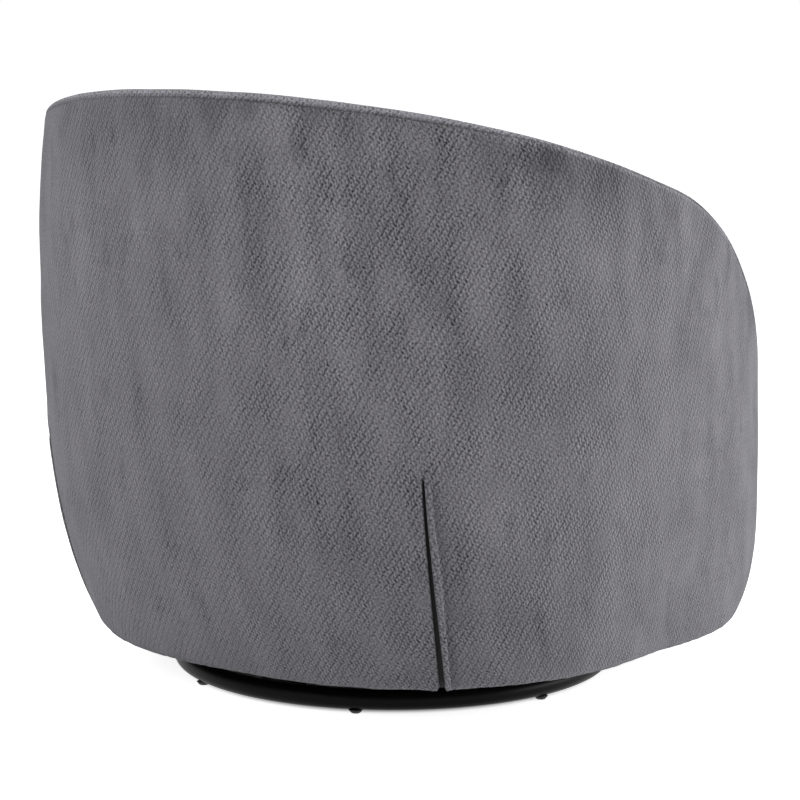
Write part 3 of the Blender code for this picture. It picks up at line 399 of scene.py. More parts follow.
def piece(name, points, faces, materials, body):
    """Named smooth mesh that rides on a CAD body."""
    mesh = bpy.data.meshes.new(name)
    mesh.from_pydata(points.tolist(), [], faces)
    mesh.shade_smooth()
    for material in materials:
        mesh.materials.append(material)
    made = bpy.data.objects.new(name, mesh)
    bpy.context.scene.collection.objects.link(made)
    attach(made, body)
    return made


def store(made, name, values, kind="FLOAT"):
    """Keep one value or vector a vertex for the materials."""
    attribute = made.data.attributes.new(name, kind, "POINT")
    field = "vector" if kind == "FLOAT_VECTOR" else "value"
    attribute.data.foreach_set(field, np.asarray(values, np.float32).ravel())


def read_vectors(data, field):
    """Vectors of a mesh's vertices or of a stored attribute, as an array."""
    values = np.empty(len(data) * 3, np.float32)
    data.foreach_get(field, values)
    return values.reshape(-1, 3).astype(float)


def skin(sections, closed=False):
    """Faces over a grid of closed sections, joined end to end or capped."""
    columns, rows = sections.shape[:2]
    faces = []
    for column in range(columns if closed else columns - 1):
        here = column * rows
        there = (column + 1) % columns * rows
        for row in range(rows):
            after = (row + 1) % rows
            faces.append((here + row, there + row, there + after, here + after))
    if not closed:
        faces.append(tuple(range(rows)))
        faces.append(tuple(reversed(range((columns - 1) * rows, columns * rows))))
    return faces


def disc(outline, rings):
    """Points and faces of a closed pad from rings (share of the outline, inset, height)."""
    angles = around(len(outline))
    grid = np.array([place(angles, outline * share - inset, height) for share, inset, height in rings])
    grid = grid.transpose(1, 0, 2)
    columns, rows = grid.shape[:2]
    points = np.vstack([grid.reshape(-1, 3), (0, 0, rings[0][2]), (0, 0, rings[-1][2])])
    low, high = columns * rows, columns * rows + 1
    sides, ends = [], []
    for column in range(columns):
        here, there = column * rows, (column + 1) % columns * rows
        for row in range(rows - 1):
            sides.append((here + row, there + row, there + row + 1, here + row + 1))
        ends.append((here, low, there))
        ends.append((here + rows - 1, there + rows - 1, high))
    return points, sides + ends


def cloth_lengths(points):
    """Lengths across the sections of a grid, from the middle one, and along each section."""
    lengths = []
    for axis in (0, 1):
        steps = np.linalg.norm(np.diff(points, axis=axis), axis=-1)
        start = np.zeros_like(steps.take([0], axis))
        lengths.append(np.concatenate([start, np.cumsum(steps, axis)], axis))
    across, along = lengths
    return across - across[len(across) // 2], along


def upholster(name, sections, materials, shade, closed=False, lengths=None):
    """Fabric piece from a grid of sections, with the weave's coordinates and its painted shading."""
    made = piece(name, sections.reshape(-1, 3), skin(sections, closed), materials, "seat")
    across, along = lengths or cloth_lengths(sections)
    cloth = np.stack([across, along, np.zeros_like(across)], axis=-1)
    store(made, "cloth", cloth, "FLOAT_VECTOR")
    store(made, "shade", np.broadcast_to(shade, across.shape))
    return made


def ripple(points, size, height, seed):
    """Gentle unevenness of padded fabric, one value a point."""
    offset = Vector((seed * 7.1, seed * 3.3, seed * 5.7))
    flat = points.reshape(-1, 3)
    values = [noise.noise(Vector(p) / size + offset) for p in flat]
    return height * np.array(values).reshape(points.shape[:-1])


# Cover of back and arms


def dart_share(height):
    """Share of the way down a dart."""
    return np.clip((DART_TOP - height) / (DART_TOP - HEM), 0, 1)


def dart_angle(height):
    """Plan angle of a dart's slit, which bows a little towards the middle of the back."""
    share = dart_share(height)
    return mix(DART_TOP_ANGLE, DART_HEM_ANGLE, share) - DART_BOW * share * (1 - share)


def dart_half(height):
    """Half the width of a dart's slit, which closes to a thread at its top."""
    opened = smooth((DART_TOP - height) / DART_CLOSING)
    return mix(DART_THREAD, DART_WIDTH + DART_WIDENING * dart_share(height), opened) / 2


def dart_relief(column, angle, height):
    """How far the cover stands proud across a dart, and the painted shade and highlight there."""
    if not column.side:
        return np.zeros_like(height), np.zeros_like(height)
    below = DART_TOP - height
    fade, grown = smooth(below / DART_FADE), smooth(below / FOLD_FADE)
    far = abs(column.step)
    # Inside the slit: full painted shade
    if column.step == 0 and abs(column.share) < 1:
        floor = DART_DEPTH - drawn_in(angle, height)
        deep = floor if abs(column.share) < 0.9 else mix(DART_LIP, floor, 0.35)
        return -deep * fade, fade
    bend = DART_LIP - math.sqrt(max(DART_LIP ** 2 - max(DART_LIP - far, 0) ** 2, 0))
    relief = -bend * fade
    # Painted shade along the slit's edge
    dark = 0.8 * fade * bell(far, 0, 0.0007)
    if column.share < 0:
        return relief + 0.0006 * bell(far, 0.0035, 0.0030) * grown, dark
    width = FOLD_WIDTH + FOLD_SWELL * bell(dart_share(height), 0.45, 0.25)
    past = far - width
    ridge = (FOLD_FOOT + FOLD_RISE * far / width) * smooth((0.0014 - past) / 0.0030)
    valley = FOLD_VALLEY * bell(past, 0.004, 0.0055)
    # Painted highlight rising across the fold, painted shadow in the valley beyond it
    lit = (0.14 + 0.24 * far / width) * smooth((0.0004 - past) / 0.0015)
    shaded = 0.30 * smooth(past / 0.0015) * bell(past, 0, 0.0085)
    return relief + (ridge - valley) * grown, dark + (shaded - lit) * grown


Column = namedtuple("Column", "angle side share step")


def cover_columns():
    """Columns of the cover: plan angle, dart's side, share across its slit, step beside it."""
    columns = []
    for angle in np.linspace(-ARM_END, ARM_END, 209):
        if abs(abs(angle) - DART_TOP_ANGLE) > DART_ZONE:
            columns.append(Column(angle, 0, 0.0, 0.0))
    for side in (-1, 1):
        for share in SLIT_SHARES:
            columns.append(Column(side * DART_TOP_ANGLE, side, share, 0.0))
        for step in SIDE_STEPS:
            columns.append(Column(side * DART_TOP_ANGLE, side, 1.0, step))
            columns.append(Column(side * DART_TOP_ANGLE, side, -1.0, -step))
    return sorted(columns, key=lambda c: (c.angle, c.side * (c.share + c.step)))


def column_angle(column, height):
    """Plan angles of a column, which leans with a dart along or near it."""
    beyond = abs(abs(column.angle) - DART_TOP_ANGLE) - DART_ZONE
    near = np.clip(1 - beyond / DART_REACH, 0, 1)
    lean = (dart_angle(height) - DART_TOP_ANGLE) * smooth(near) * np.sign(column.angle)
    beside = (column.share * dart_half(height) + column.step) * column.side
    return column.angle + lean + np.degrees(beside / shell_radius(column.angle, height))


def uneven_hem(column, at_rim, height):
    """Heights with the hem's waves, its drop beside a dart and the slit's rounded corners."""
    corner = 0.0
    if column.side:
        far = abs(column.step)
        corner = 0.0030 * bell(far, 0, 0.0012) - 0.0016 * bell(far, 0, 0.012)
    wave = 0.0009 * noise.noise(Vector((at_rim * 2.2, 0.7, 0.3)))
    for change, reach in ((corner, 0.025), (wave, 0.012)):
        height = height + change * np.clip(1 - (height - HEM) / reach, 0, 1)
    return height


def turned_hem(angle):
    """The two inner points of a cover's turned-in hem."""
    return place(angle, shell_radius(angle, HEM) - HEM_TURN, np.array([HEM + HEM_FOLD, HEM]))


def cover_inside(column, angle, height, top):
    """Points down the inner face of the cover and along its turned-in hem."""
    inner_height = mix(top, HEM + HEM_FOLD, np.linspace(0, 1, 12))
    inner_angle = np.interp(inner_height, height, angle)
    relief, _ = dart_relief(column, inner_angle, inner_height)
    thick = np.maximum(COVER - drawn_in(inner_angle, inner_height), -relief + 0.0007)
    inner = place(inner_angle, shell_radius(inner_angle, inner_height) - thick, inner_height)
    return np.concatenate([inner, turned_hem(angle[0])])


def brushed_patches(angle, height):
    """Darker patches that hang from the rim, where the pile is brushed the other way."""
    across = np.radians(angle) * HALF_WIDTH
    patches = np.zeros_like(height)
    for wide, tall, seed, strength in BRUSH_MARKS:
        spots = [noise.noise(Vector((x / wide, z / tall, seed))) for x, z in zip(across, height)]
        patches += strength * np.array(spots)
    return 0.08 + 0.30 * smooth((patches - 0.02) / 0.45)


def cover_shade(at_rim, angle, height, seam_height, dart_dark):
    """Painted shade and light on the cover's face: darts, seam, foot and rear corners, a paler patch and a
    highlight along the arms' top edge; also brushed pile and a darker top towards the sitter's left below
    the rim.
    """
    turn = np.abs(angle)
    below_rim = seam_height - height
    # Painted shade in a band under the lip of the rim band
    seam_depth = mix(0.05, 0.31, seam_show(at_rim))
    painted_seam_shade = seam_depth * lip_share(at_rim) * bell(below_rim, 0, 0.0068)
    # Painted shade towards the foot, around the rear corners
    painted_low_shade = 0.10 * smooth((0.31 - height) / 0.20) * bell(turn, 45, 24)
    # Painted shade below the rim where the back turns into the arms
    painted_arm_shade = 0.46 * bell(turn, 68, 11) * bell(below_rim, 0, 0.050)
    patch_dark = brushed_patches(angle, height) * bell(below_rim, 0, 0.062)
    back_dark = 0.15 * smooth((22 - angle) / 24) * bell(below_rim, 0, 0.100)
    # Painted light: a paler patch on the back, towards the sitter's right
    painted_light_patch = 0.17 * bell(angle, 23, 8) * bell(height, 0.49, 0.11)
    # Painted highlight along the top edge where the band has no roll
    painted_edge_highlight = 1.3 * (1 - lip_share(at_rim)) * bell(below_rim, 0, 0.0019)
    rim_dark = painted_arm_shade + patch_dark + back_dark
    return np.maximum(dart_dark + painted_low_shade + rim_dark, painted_seam_shade) - painted_edge_highlight - painted_light_patch


def cover_section(column):
    """One section of the cover, the same without relief, and its shade."""
    beside = (column.share * dart_half(RIM_TOP) + column.step) * column.side
    at_rim = column.angle + np.degrees(beside / HALF_WIDTH)
    seam_height = rim_height(at_rim) - lip_height(at_rim)
    top = seam_height + SEAM_LAP
    height = mix(HEM, top, COVER_RISE)
    angle = column_angle(column, height)
    radius = shell_radius(angle, height)
    plain = place(angle, radius, height)
    relief, dart_dark = dart_relief(column, angle, height)
    pinch = mix(*PINCHES, lip_share(at_rim) * seam_show(at_rim))
    radius -= rounding(height - HEM, HEM_ROUND, HEM_INSET) + rounding(top - height, SEAM_ROUND, pinch)
    height = uneven_hem(column, at_rim, height)
    inside = cover_inside(column, angle, height, top)
    section = np.concatenate([place(angle, radius + relief, height), inside])
    shade = cover_shade(at_rim, angle, height, seam_height, dart_dark)
    return section, np.concatenate([plain, inside]), np.concatenate([shade, np.zeros(len(inside))])


def shade_slits(made, columns):
    """Give the faces inside the slits the second material, a near-black painted shade."""
    rows = len(made.data.vertices) // len(columns)
    for polygon in made.data.polygons:
        column = columns[polygon.vertices[0] // rows]
        at_edge = (column.share, column.step) == (-1.0, 0.0)
        in_slit = column.side and abs(column.share) < 0.9 or at_edge
        if len(polygon.vertices) == 4 and in_slit and polygon.center.z < DART_TOP - 0.002:
            polygon.material_index = 1


def make_cover(cloth, lining):
    """Outer cover: rounded hem, two open darts, its top edge under the rim band."""
    columns = cover_columns()
    sections, plain, shades = (np.array(part) for part in zip(*map(cover_section, columns)))
    bumps = sum(ripple(sections, *values) for values in COVER_RIPPLES)
    bumps[:, len(COVER_RISE):] = 0
    sections += outwards(sections) * bumps[..., None]
    across, along = cloth_lengths(plain)
    across = across - WEAVE_SLANT * along + WEAVE_CURVE * along ** 2
    made = upholster("cover_cloth", sections, [cloth, lining], shades, lengths=(across, along))
    # Painted weave shading, by the column's plan angle
    weave_shading = np.interp([column.angle for column in columns], *WEAVE_SHADING_BY_ANGLE)
    store(made, "weave_shade_share", np.repeat(weave_shading, sections.shape[1]))
    store(made, "brushed", smooth((sections[..., 2] - 0.40) / 0.14))
    shade_slits(made, columns)
    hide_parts("back_cover")


# Rim band, pads and apron


def band_section(angle):
    """One section of the rim band: lip, roll, falling top, inner edge, underside."""
    top = rim_height(angle)
    outer = shell_radius(angle, top)
    inner = outer - wall(angle, top)
    lip, share_at_back = lip_height(angle), lip_share(angle)
    foot, edge = 0.0012, 0.004
    lip_r = outer - mix(np.array((0.0020, 0.0006)), np.array((0.0030, 0.0012)), share_at_back)
    lip_z = top - lip + np.array((foot, 0.0002))
    turn = np.radians(np.linspace(0, 90, 9))
    roll_r = outer + 0.0004 * share_at_back - mix(0.0024, 0.0080, share_at_back) * (1 - np.cos(turn))
    roll_z = top - (lip - foot) * (1 - np.sin(turn))
    share = np.linspace(0, 1, 16)[1:-1]
    fall = rim_fall(outer - inner)
    top_r = mix(roll_r[-1], inner + edge, share)
    top_z = top - fall * share ** 1.15
    turn = np.radians(np.linspace(90, 180, 5))
    edge_r = inner + edge + edge * np.cos(turn)
    edge_z = mix(top - 0.0092, top - fall, np.sin(turn))
    under_r = np.array([inner + 0.001, mix(inner, outer, 0.35), outer - 0.0095, outer - 0.0080])
    under_z = np.array([top - 0.0098, top - 0.0094, top - 0.0090, top - lip + foot])
    return place(angle, np.concatenate([lip_r, roll_r, top_r, edge_r, under_r]),
                 np.concatenate([lip_z, roll_z, top_z, edge_z, under_z]))


def band_shade(angle, count):
    """Painted shade and highlight over a section of the rim band."""
    # Lip and foot of the roll: painted shade in the seam on the back, painted highlight on the arms
    at_back = np.array((0.6, 0.45, 0.30, 0.0, -0.35)) * mix(0.2, 1.0, seam_show(angle))
    at_side = np.array((-0.6, -0.8, -0.9, -0.9, -0.9))
    dark = np.zeros(count)
    dark[:5] = mix(at_side, at_back, lip_share(angle))
    # Painted highlight over the roll, fading across the top
    dark[5:14] = -0.75
    dark[14:20] = np.linspace(-0.6, 0, 6)
    return dark


def make_band(cloth):
    """Padded band along the rim, seamed to the cover."""
    angles = np.linspace(-ARM_END, ARM_END, 261)
    sections = np.array([band_section(angle) for angle in angles])
    rows = sections.shape[1]
    underside = 4
    sections[..., 2] += ripple(sections, *BAND_RIPPLE) * (np.arange(rows) < rows - underside)
    shades = np.array([band_shade(angle, rows) for angle in angles])
    made = upholster("rim_band_cloth", sections, [cloth], shades)
    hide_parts("rim_band")


def make_pad(cloth):
    """Padded inside of back and arms, drawn in along a seam at each rear corner."""
    seam_angle, face_radius, seam_depth, seam_width, seam_start = 58.0, 0.26, 0.004, 0.004, 0.05
    drop, back_inset, least_pad, edge_round = 0.0102, 0.0697, 0.010, 0.010
    sections, shades = [], []
    for angle in np.linspace(-ARM_END, ARM_END, 261):
        top = rim_height(angle) - drop
        height = mix(PAD_BOTTOM, top, np.linspace(0, 1, 3))
        inset = np.minimum(back_inset, wall(angle, top) - least_pad)
        back = place(angle, shell_radius(angle, height) - inset, height)
        share = 1 - np.linspace(0, 1, 46)
        height = mix(PAD_BOTTOM, top, share)
        rounded = edge_round * np.abs(2 * share - 1) ** 10
        from_seam = np.radians(np.abs(np.abs(angle) - seam_angle)) * face_radius
        seam = seam_depth * bell(from_seam, 0, seam_width) * smooth((height - PAD_BOTTOM) / seam_start)
        radius = shell_radius(angle, height) - wall(angle, height) + rounded + seam
        sections.append(np.concatenate([back, place(angle, radius, height)]))
        # Painted shade in the corner seam's groove and along the pad's top edge under the rim band
        dark = np.maximum(0.5 * bell(from_seam, 0, 0.003), 0.5 * (share > 0.985))
        shades.append(np.concatenate([np.zeros(len(back)), dark]))
    sections = np.array(sections)
    sections += outwards(sections) * ripple(sections, *PAD_RIPPLE)[..., None]
    made = upholster("inner_pad_cloth", sections, [cloth], np.array(shades))
    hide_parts("inner_pad")


def apron_section(angle):
    """One section of the apron: up its face, over the panel's top, down behind and back."""
    top = rim_height(angle)
    width = mix(WALL_END, APRON_WIDTH, ramp(abs(angle), *END_TO_APRON))
    fall = rim_fall(width)
    front_round, back_round, panel_gap, edge_drop, fold_depth = 0.0040, 0.0035, 0.0020, 0.0045, 0.0095
    height = mix(HEM, top, np.linspace(0, 1, 60))
    radius = shell_radius(angle, height) - rounding(height - HEM, HEM_ROUND, HEM_INSET)
    outer = place(angle, radius - rounding(top - height, 0.005, front_round), height)
    across = np.linspace(0, 1, 6)[1:]
    rim = shell_radius(angle, top)
    over = place(angle, rim - mix(front_round, width - back_round, across), top - fall * across)
    turn = np.radians(np.linspace(0, 90, 5)[1:])
    corner_r = rim - width + back_round * (1 - np.sin(turn))
    corner = place(angle, corner_r, top - fall - back_round * (1 - np.cos(turn)))
    down = mix(top - fall - edge_drop, PAD_BOTTOM, np.linspace(0, 1, 5))
    inside = place(angle, shell_radius(angle, down) - width, down)
    back_up = np.array([PAD_BOTTOM, top - fold_depth])
    behind = place(angle, shell_radius(angle, back_up) - width + panel_gap, back_up)
    height = mix(top - fold_depth, HEM + HEM_FOLD, np.linspace(0, 1, 10))
    inner = place(angle, shell_radius(angle, height) - COVER, height)
    return np.concatenate([outer, over, corner, inside, behind, inner, turned_hem(angle)])


def make_apron(cloth):
    """Front apron cover, folded over the panel's top edge."""
    gap = 0.09
    angles = np.linspace(ARM_END + gap, 360 - ARM_END - gap, 121)
    sections = [apron_section(angle - 360 if angle > 180 else angle) for angle in angles]
    made = upholster("apron_cloth", np.array(sections), [cloth], 0.0)
    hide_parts("front_apron")


def make_deck(felt):
    """Felt deck over the springs, under the cushion."""
    angles = around(144)
    outline = np.minimum(seat_radius(angles), shell_radius(angles, SEAT) - DECK_INSET)
    rings = [(share, inset, DECK_BOTTOM + rise) for share, inset, rise in DECK_RINGS]
    rings += [(share, inset, SEAT - rise) for share, inset, rise in reversed(DECK_RINGS)]
    points, faces = disc(outline, rings)
    made = piece("seat_deck_felt", points, faces, [felt], "seat")
    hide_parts("seat_deck")


def make_dust_cover(cloth):
    """Black dust cloth stretched under the base board."""
    angles = around(180)
    outer = shell_radius(angles, HEM) - DUST_INSET
    shares = np.linspace(0, 1, 12)
    radii = [mix(DUST_HOLE, outer, share) for share in shares]
    sag = DUST_SAG * np.sin(np.pi * shares)
    top = [place(angles, radius, DUST_TOP - low) for radius, low in zip(radii, sag)]
    bottom = [place(angles, radius, DUST_BOTTOM - low) for radius, low in zip(radii, sag)]
    sections = np.array(top[::-1] + bottom).transpose(1, 0, 2)
    faces = skin(sections, True)
    made = piece("dust_cloth_sheet", sections.reshape(-1, 3), faces, [cloth], "seat")
    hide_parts("dust_cover")
    edge = place(angles, outer, 0.0)


# Seat cushion


def cushion_outline(angles):
    """Plan outline of the cushion's cut, drawn in between its corners."""
    turn = np.abs(angles)
    front, side, back = bell(turn, 180, 22), bell(turn, 95, 24), bell(turn, 0, 24)
    return seat_radius(angles) - CUSHION_INSET - 0.006 * front - 0.004 * side - 0.003 * back


def copy_mesh(made, name):
    """Mesh of an object with its modifiers applied."""
    graph = bpy.context.evaluated_depsgraph_get()
    mesh = bpy.data.meshes.new_from_object(made.evaluated_get(graph), depsgraph=graph)
    mesh.name = name
    return mesh


def inflate(made, cap, frames=20):
    """Points of a mesh swollen by cloth under pressure; none moves further than the cap."""
    start = read_vectors(made.data.vertices, "co")
    cloth = made.modifiers.new("cloth", "CLOTH")
    cloth.settings.quality = 4
    cloth.settings.use_pressure = True
    cloth.settings.uniform_pressure_force = 4
    cloth.settings.bending_stiffness = 2
    cloth.settings.effector_weights.gravity = 0
    cloth.point_cache.frame_start = 1
    cloth.point_cache.frame_end = frames
    for frame_number in range(1, frames + 1):
        bpy.context.scene.frame_set(frame_number)
    moved = read_vectors(copy_mesh(made, made.name).vertices, "co") - start
    length = np.linalg.norm(moved, axis=1, keepdims=True)
    moved *= np.minimum(1, cap / np.maximum(length, 1e-9))
    made.modifiers.clear()
    bpy.context.scene.frame_set(1)
    return start + moved


def fill_out(points, counted, short, weight):
    """Spread points in plan until the counted ones are just short of the seat's edge."""
    turn, radius = polar(points)
    middles = np.arange(-180, 180, 4.0)
    reach = np.array([radius[(np.abs(turned(turn, angle)) < 3) & counted].max() for angle in middles])
    reach = (np.roll(reach, 1) + 2 * reach + np.roll(reach, -1)) / 4
    factor = (cushion_outline(middles) + CUSHION_INSET - short) / reach
    ends = np.append(middles, 180)
    factor = np.interp(turn, ends, np.append(factor, factor[0]))
    reach = np.interp(turn, ends, np.append(reach, reach[0]))
    share = smooth(radius / (0.9 * reach)) * weight
    points[:, :2] *= (1 + (factor - 1) * share)[:, None]


def fit_cushion(points):
    """Fill the cushion out and hold it inside the seat, over the deck, under its crown."""
    side_gap, foot_gap, least_gap = 0.0005, 0.0040, 0.0012
    foot, foot_end, foot_fade = CUSHION_LOW + 0.022, CUSHION_LOW + 0.070, 0.055
    side_ease, crown, crown_ease = 0.006, CUSHION_HIGH + 0.001, 0.008
    height = points[:, 2]
    fill_out(points, height > 0, side_gap, 1.0)
    fill_out(points, height < foot, foot_gap, smooth((foot_end - height) / foot_fade))
    turn, radius = polar(points)
    fitted = soft_limit(radius, seat_radius(turn) - least_gap, side_ease)
    points[:, :2] *= (fitted / np.maximum(radius, 1e-9))[:, None]
    points[:, 2] = soft_limit(np.maximum(height, CUSHION_LOW), crown, crown_ease)


def make_piping(name, turn, points, lift, cloth):
    """Covered cord that stands a little proud of a cushion seam."""
    middle = around(180)
    path = []
    for angle in middle:
        weight = bell(turned(turn, angle), 0, 2.2)
        path.append((points * weight[:, None]).sum(axis=0) / max(weight.sum(), 1e-9))
    path = np.array(path)
    outward = outwards(path)
    path += PIPING_PROUD * (outward + np.array((0, 0, SEAM_TILT * lift)))
    reach = np.hypot(path[:, 0], path[:, 1])
    path[:, :2] *= np.minimum(1, (seat_radius(middle) - PIPING_RADIUS - 0.001) / reach)[:, None]
    tube = circle(12)[None, :, None]
    round_cord = np.cos(tube) * outward[:, None] + np.sin(tube) * np.array((0, 0, 1.0))
    sections = path[:, None] + PIPING_RADIUS * round_cord
    sections[..., 2] = np.maximum(sections[..., 2], CUSHION_LOW)
    upholster(name, sections, [cloth], 0.0, closed=True)


def finish_cushion(made, cloth, low, seam):
    """Seam grooves with painted shade, weave coordinates and piping of the swollen cushion."""
    mesh = made.data
    mesh.shade_smooth()
    now = read_vectors(mesh.vertices, "co")
    rest = read_vectors(mesh.attributes["rest"].data, "vector")
    turn, radius = polar(rest)
    inward = cushion_outline(turn) - radius
    outward = outwards(now)
    groove_width, groove_depth, painted_groove_shade, piping_reach = 0.0045, 0.0016, 0.5, 0.0065
    shade = np.zeros(len(now))
    for name, height, lift in (("top", seam, 1.0), ("bottom", low, -1.0)):
        away = np.hypot(inward, rest[:, 2] - height)
        near = bell(away, 0, groove_width)
        # Painted shade in the seam grooves
        shade = np.maximum(shade, painted_groove_shade * near)
        close = away < piping_reach
        make_piping(f"cushion_piping_{name}", turn[close], now[close], lift, cloth)
        now -= groove_depth * near[:, None] * (outward + np.array((0, 0, lift)) * SEAM_TILT)
    mesh.vertices.foreach_set("co", now.astype(np.float32).ravel())
    beside, clear, mean_radius = 0.004, 0.003, 0.27
    side = (inward < beside) & (rest[:, 2] > low + clear) & (rest[:, 2] < seam - clear)
    girth = np.radians(turn) * mean_radius
    flat = np.stack([now[:, 0], now[:, 1], np.zeros(len(now))], axis=-1)
    boxed = np.stack([girth, now[:, 2], np.zeros(len(now))], axis=-1)
    store(made, "cloth", np.where(side[:, None], boxed, flat), "FLOAT_VECTOR")
    store(made, "shade", shade)
    mesh.update()
    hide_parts("seat_cushion")


def make_cushion(cloth):
    """Boxed seat cushion, swollen by simulation, with piped seams."""
    name = "seat_cushion_soft"
    outline = cushion_outline(around(288))
    low, seam = CUSHION_LOW + 0.006, CUSHION_SEAM - 0.004
    rings = [(share, 0, low) for share in (0.25, 0.5, 0.75, 0.95)]
    rings += [(1, 0, mix(low, seam, share)) for share in np.linspace(0, 1, 9)]
    crown = ((0.95, 0.001), (0.8, 0.004), (0.55, 0.007), (0.25, 0.008))
    rings += [(share, 0, seam + rise) for share, rise in crown]
    points, faces = disc(outline, rings)
    made = piece(name, points, faces, [cloth], "seat")
    remesh = made.modifiers.new("remesh", "REMESH")
    remesh.mode = "VOXEL"
    remesh.voxel_size = CUSHION_VOXEL
    made.data = copy_mesh(made, name)
    made.modifiers.clear()
    start = read_vectors(made.data.vertices, "co")
    end = inflate(made, SWELL_CAP)
    fit_cushion(end)
    made.data.vertices.foreach_set("co", end.astype(np.float32).ravel())
    store(made, "rest", start, "FLOAT_VECTOR")
    made.modifiers.new("finer", "SUBSURF").levels = 1
    made.data = copy_mesh(made, name)
    made.modifiers.clear()
    finish_cushion(made, cloth, low, seam)


# Base


def turned_profile(name, centre, radii, heights, count, material):
    """Piece of the base made by turning a profile about an upright axis."""
    turn = circle(count)[:, None]
    x, y = centre
    points = np.stack([x + radii * np.cos(turn), y + radii * np.sin(turn), heights + 0 * turn], axis=-1)
    return piece(name, points.reshape(-1, 3), skin(points, True), [material], "base")


def make_base(steel, plastic):
    """Ring of bent tube and the feet under it."""
    radii = RING_RADIUS + TUBE_RADIUS * np.cos(circle(32))
    heights = RING_HEIGHT + TUBE_RADIUS * np.sin(circle(32))
    ring = turned_profile("ring_tube", (0, 0), radii, heights, 240, steel)
    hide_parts("base_ring")
    radii, heights = np.array(FOOT_PROFILE).T
    for index in range(FEET):
        turn = math.radians(FIRST_FOOT + 360 * index / FEET)
        centre = (RING_RADIUS * math.cos(turn), RING_RADIUS * math.sin(turn))
        foot = turned_profile(f"foot_{index + 1}", centre, radii, heights, 32, plastic)
        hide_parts(f"glide_{index + 1}")


# Materials


class Nodes:
    """Small helper that adds nodes to a tree and joins them."""

    def __init__(self, tree):
        self.tree = tree

    def put(self, socket, value):
        """Set a socket to a plain value or join it to another node's output."""
        if isinstance(value, bpy.types.NodeSocket):
            self.tree.links.new(value, socket)
        else:
            socket.default_value = value

    def add(self, kind, inputs=(), output=0, **settings):
        """New node with its settings and inputs; gives one output."""
        made = self.tree.nodes.new("ShaderNode" + kind)
        for name, value in settings.items():
            setattr(made, name, value)
        pairs = inputs.items() if isinstance(inputs, dict) else enumerate(inputs)
        for name, value in pairs:
            self.put(made.inputs[name], value)
        return made.outputs[output]

    def math(self, operation, *values):
        """Arithmetic on numbers."""
        return self.add("Math", values, operation=operation)

    def vector(self, operation, *values):
        """Arithmetic on vectors."""
        output = 1 if operation in ("DOT_PRODUCT", "LENGTH") else 0
        return self.add("VectorMath", values, output, operation=operation)

    def scaled(self, vector, scale):
        """Vector or colour times a number."""
        return self.add("VectorMath", {0: vector, "Scale": scale}, operation="SCALE")

    def noise(self, where, scale, detail=2.0, roughness=0.5):
        """Noise about 0, from about -0.5 to 0.5."""
        inputs = {"Vector": where, "Scale": scale, "Detail": detail, "Roughness": roughness}
        return self.math("SUBTRACT", self.add("TexNoise", inputs), 0.5)

    def over(self, value, start):
        """How far a value is above a start, else 0."""
        return self.math("MAXIMUM", self.math("SUBTRACT", value, start), 0.0)

    def blend(self, total, parts):
        """Total with each part added times its strength."""
        for value, strength in parts:
            total = self.math("MULTIPLY_ADD", value, strength, total)
        return total

    def seen(self):
        """1 for rays from the camera, in reflections and through glass, else 0."""
        rays = self.add("LightPath", output="Is Camera Ray").node.outputs
        mirrored = self.math("MAXIMUM", rays["Is Glossy Ray"], rays["Is Transmission Ray"])
        return self.math("MAXIMUM", rays["Is Camera Ray"], mirrored)

    def surface(self, **values):
        """Set the shader's inputs; an underscore stands for a space in a name."""
        shader = self.tree.nodes["Principled BSDF"]
        for name, value in values.items():
            self.put(shader.inputs[name.replace("_", " ")], value)


def new_material(name):
    """Material with a plain shader, and the helper for its nodes."""
    material = bpy.data.materials.new(name)
    material.use_nodes = True
    return material, Nodes(material.node_tree)


def weave_pattern(n, cloth):
    """Slanting lattice of the weave, from a sum of waves."""
    wobble = n.add("TexNoise", {"Vector": cloth, "Scale": 45.0, "Detail": 3.0, "Roughness": 0.7}, "Color")
    wobble = n.scaled(n.vector("SUBTRACT", wobble, (0.5, 0.5, 0.5)), 0.0060)
    cell = n.vector("MULTIPLY", n.vector("ADD", cloth, wobble), (1 / WEAVE_ACROSS, 1 / WEAVE_UP, 0))
    waves = []
    for across, up, strength, turns in WEAVE_WAVES:
        phase = n.vector("DOT_PRODUCT", cell, (across * 2 * math.pi, up * 2 * math.pi, 0))
        waves.append((n.math("COSINE", n.math("ADD", phase, turns * 2 * math.pi)), strength))
    patch = n.noise(n.vector("MULTIPLY", cloth, (1, 0.6, 1)), 38.0, 2.0)
    return n.math("MULTIPLY", n.blend(0.0, waves), n.math("MULTIPLY_ADD", patch, 0.9, 0.33))


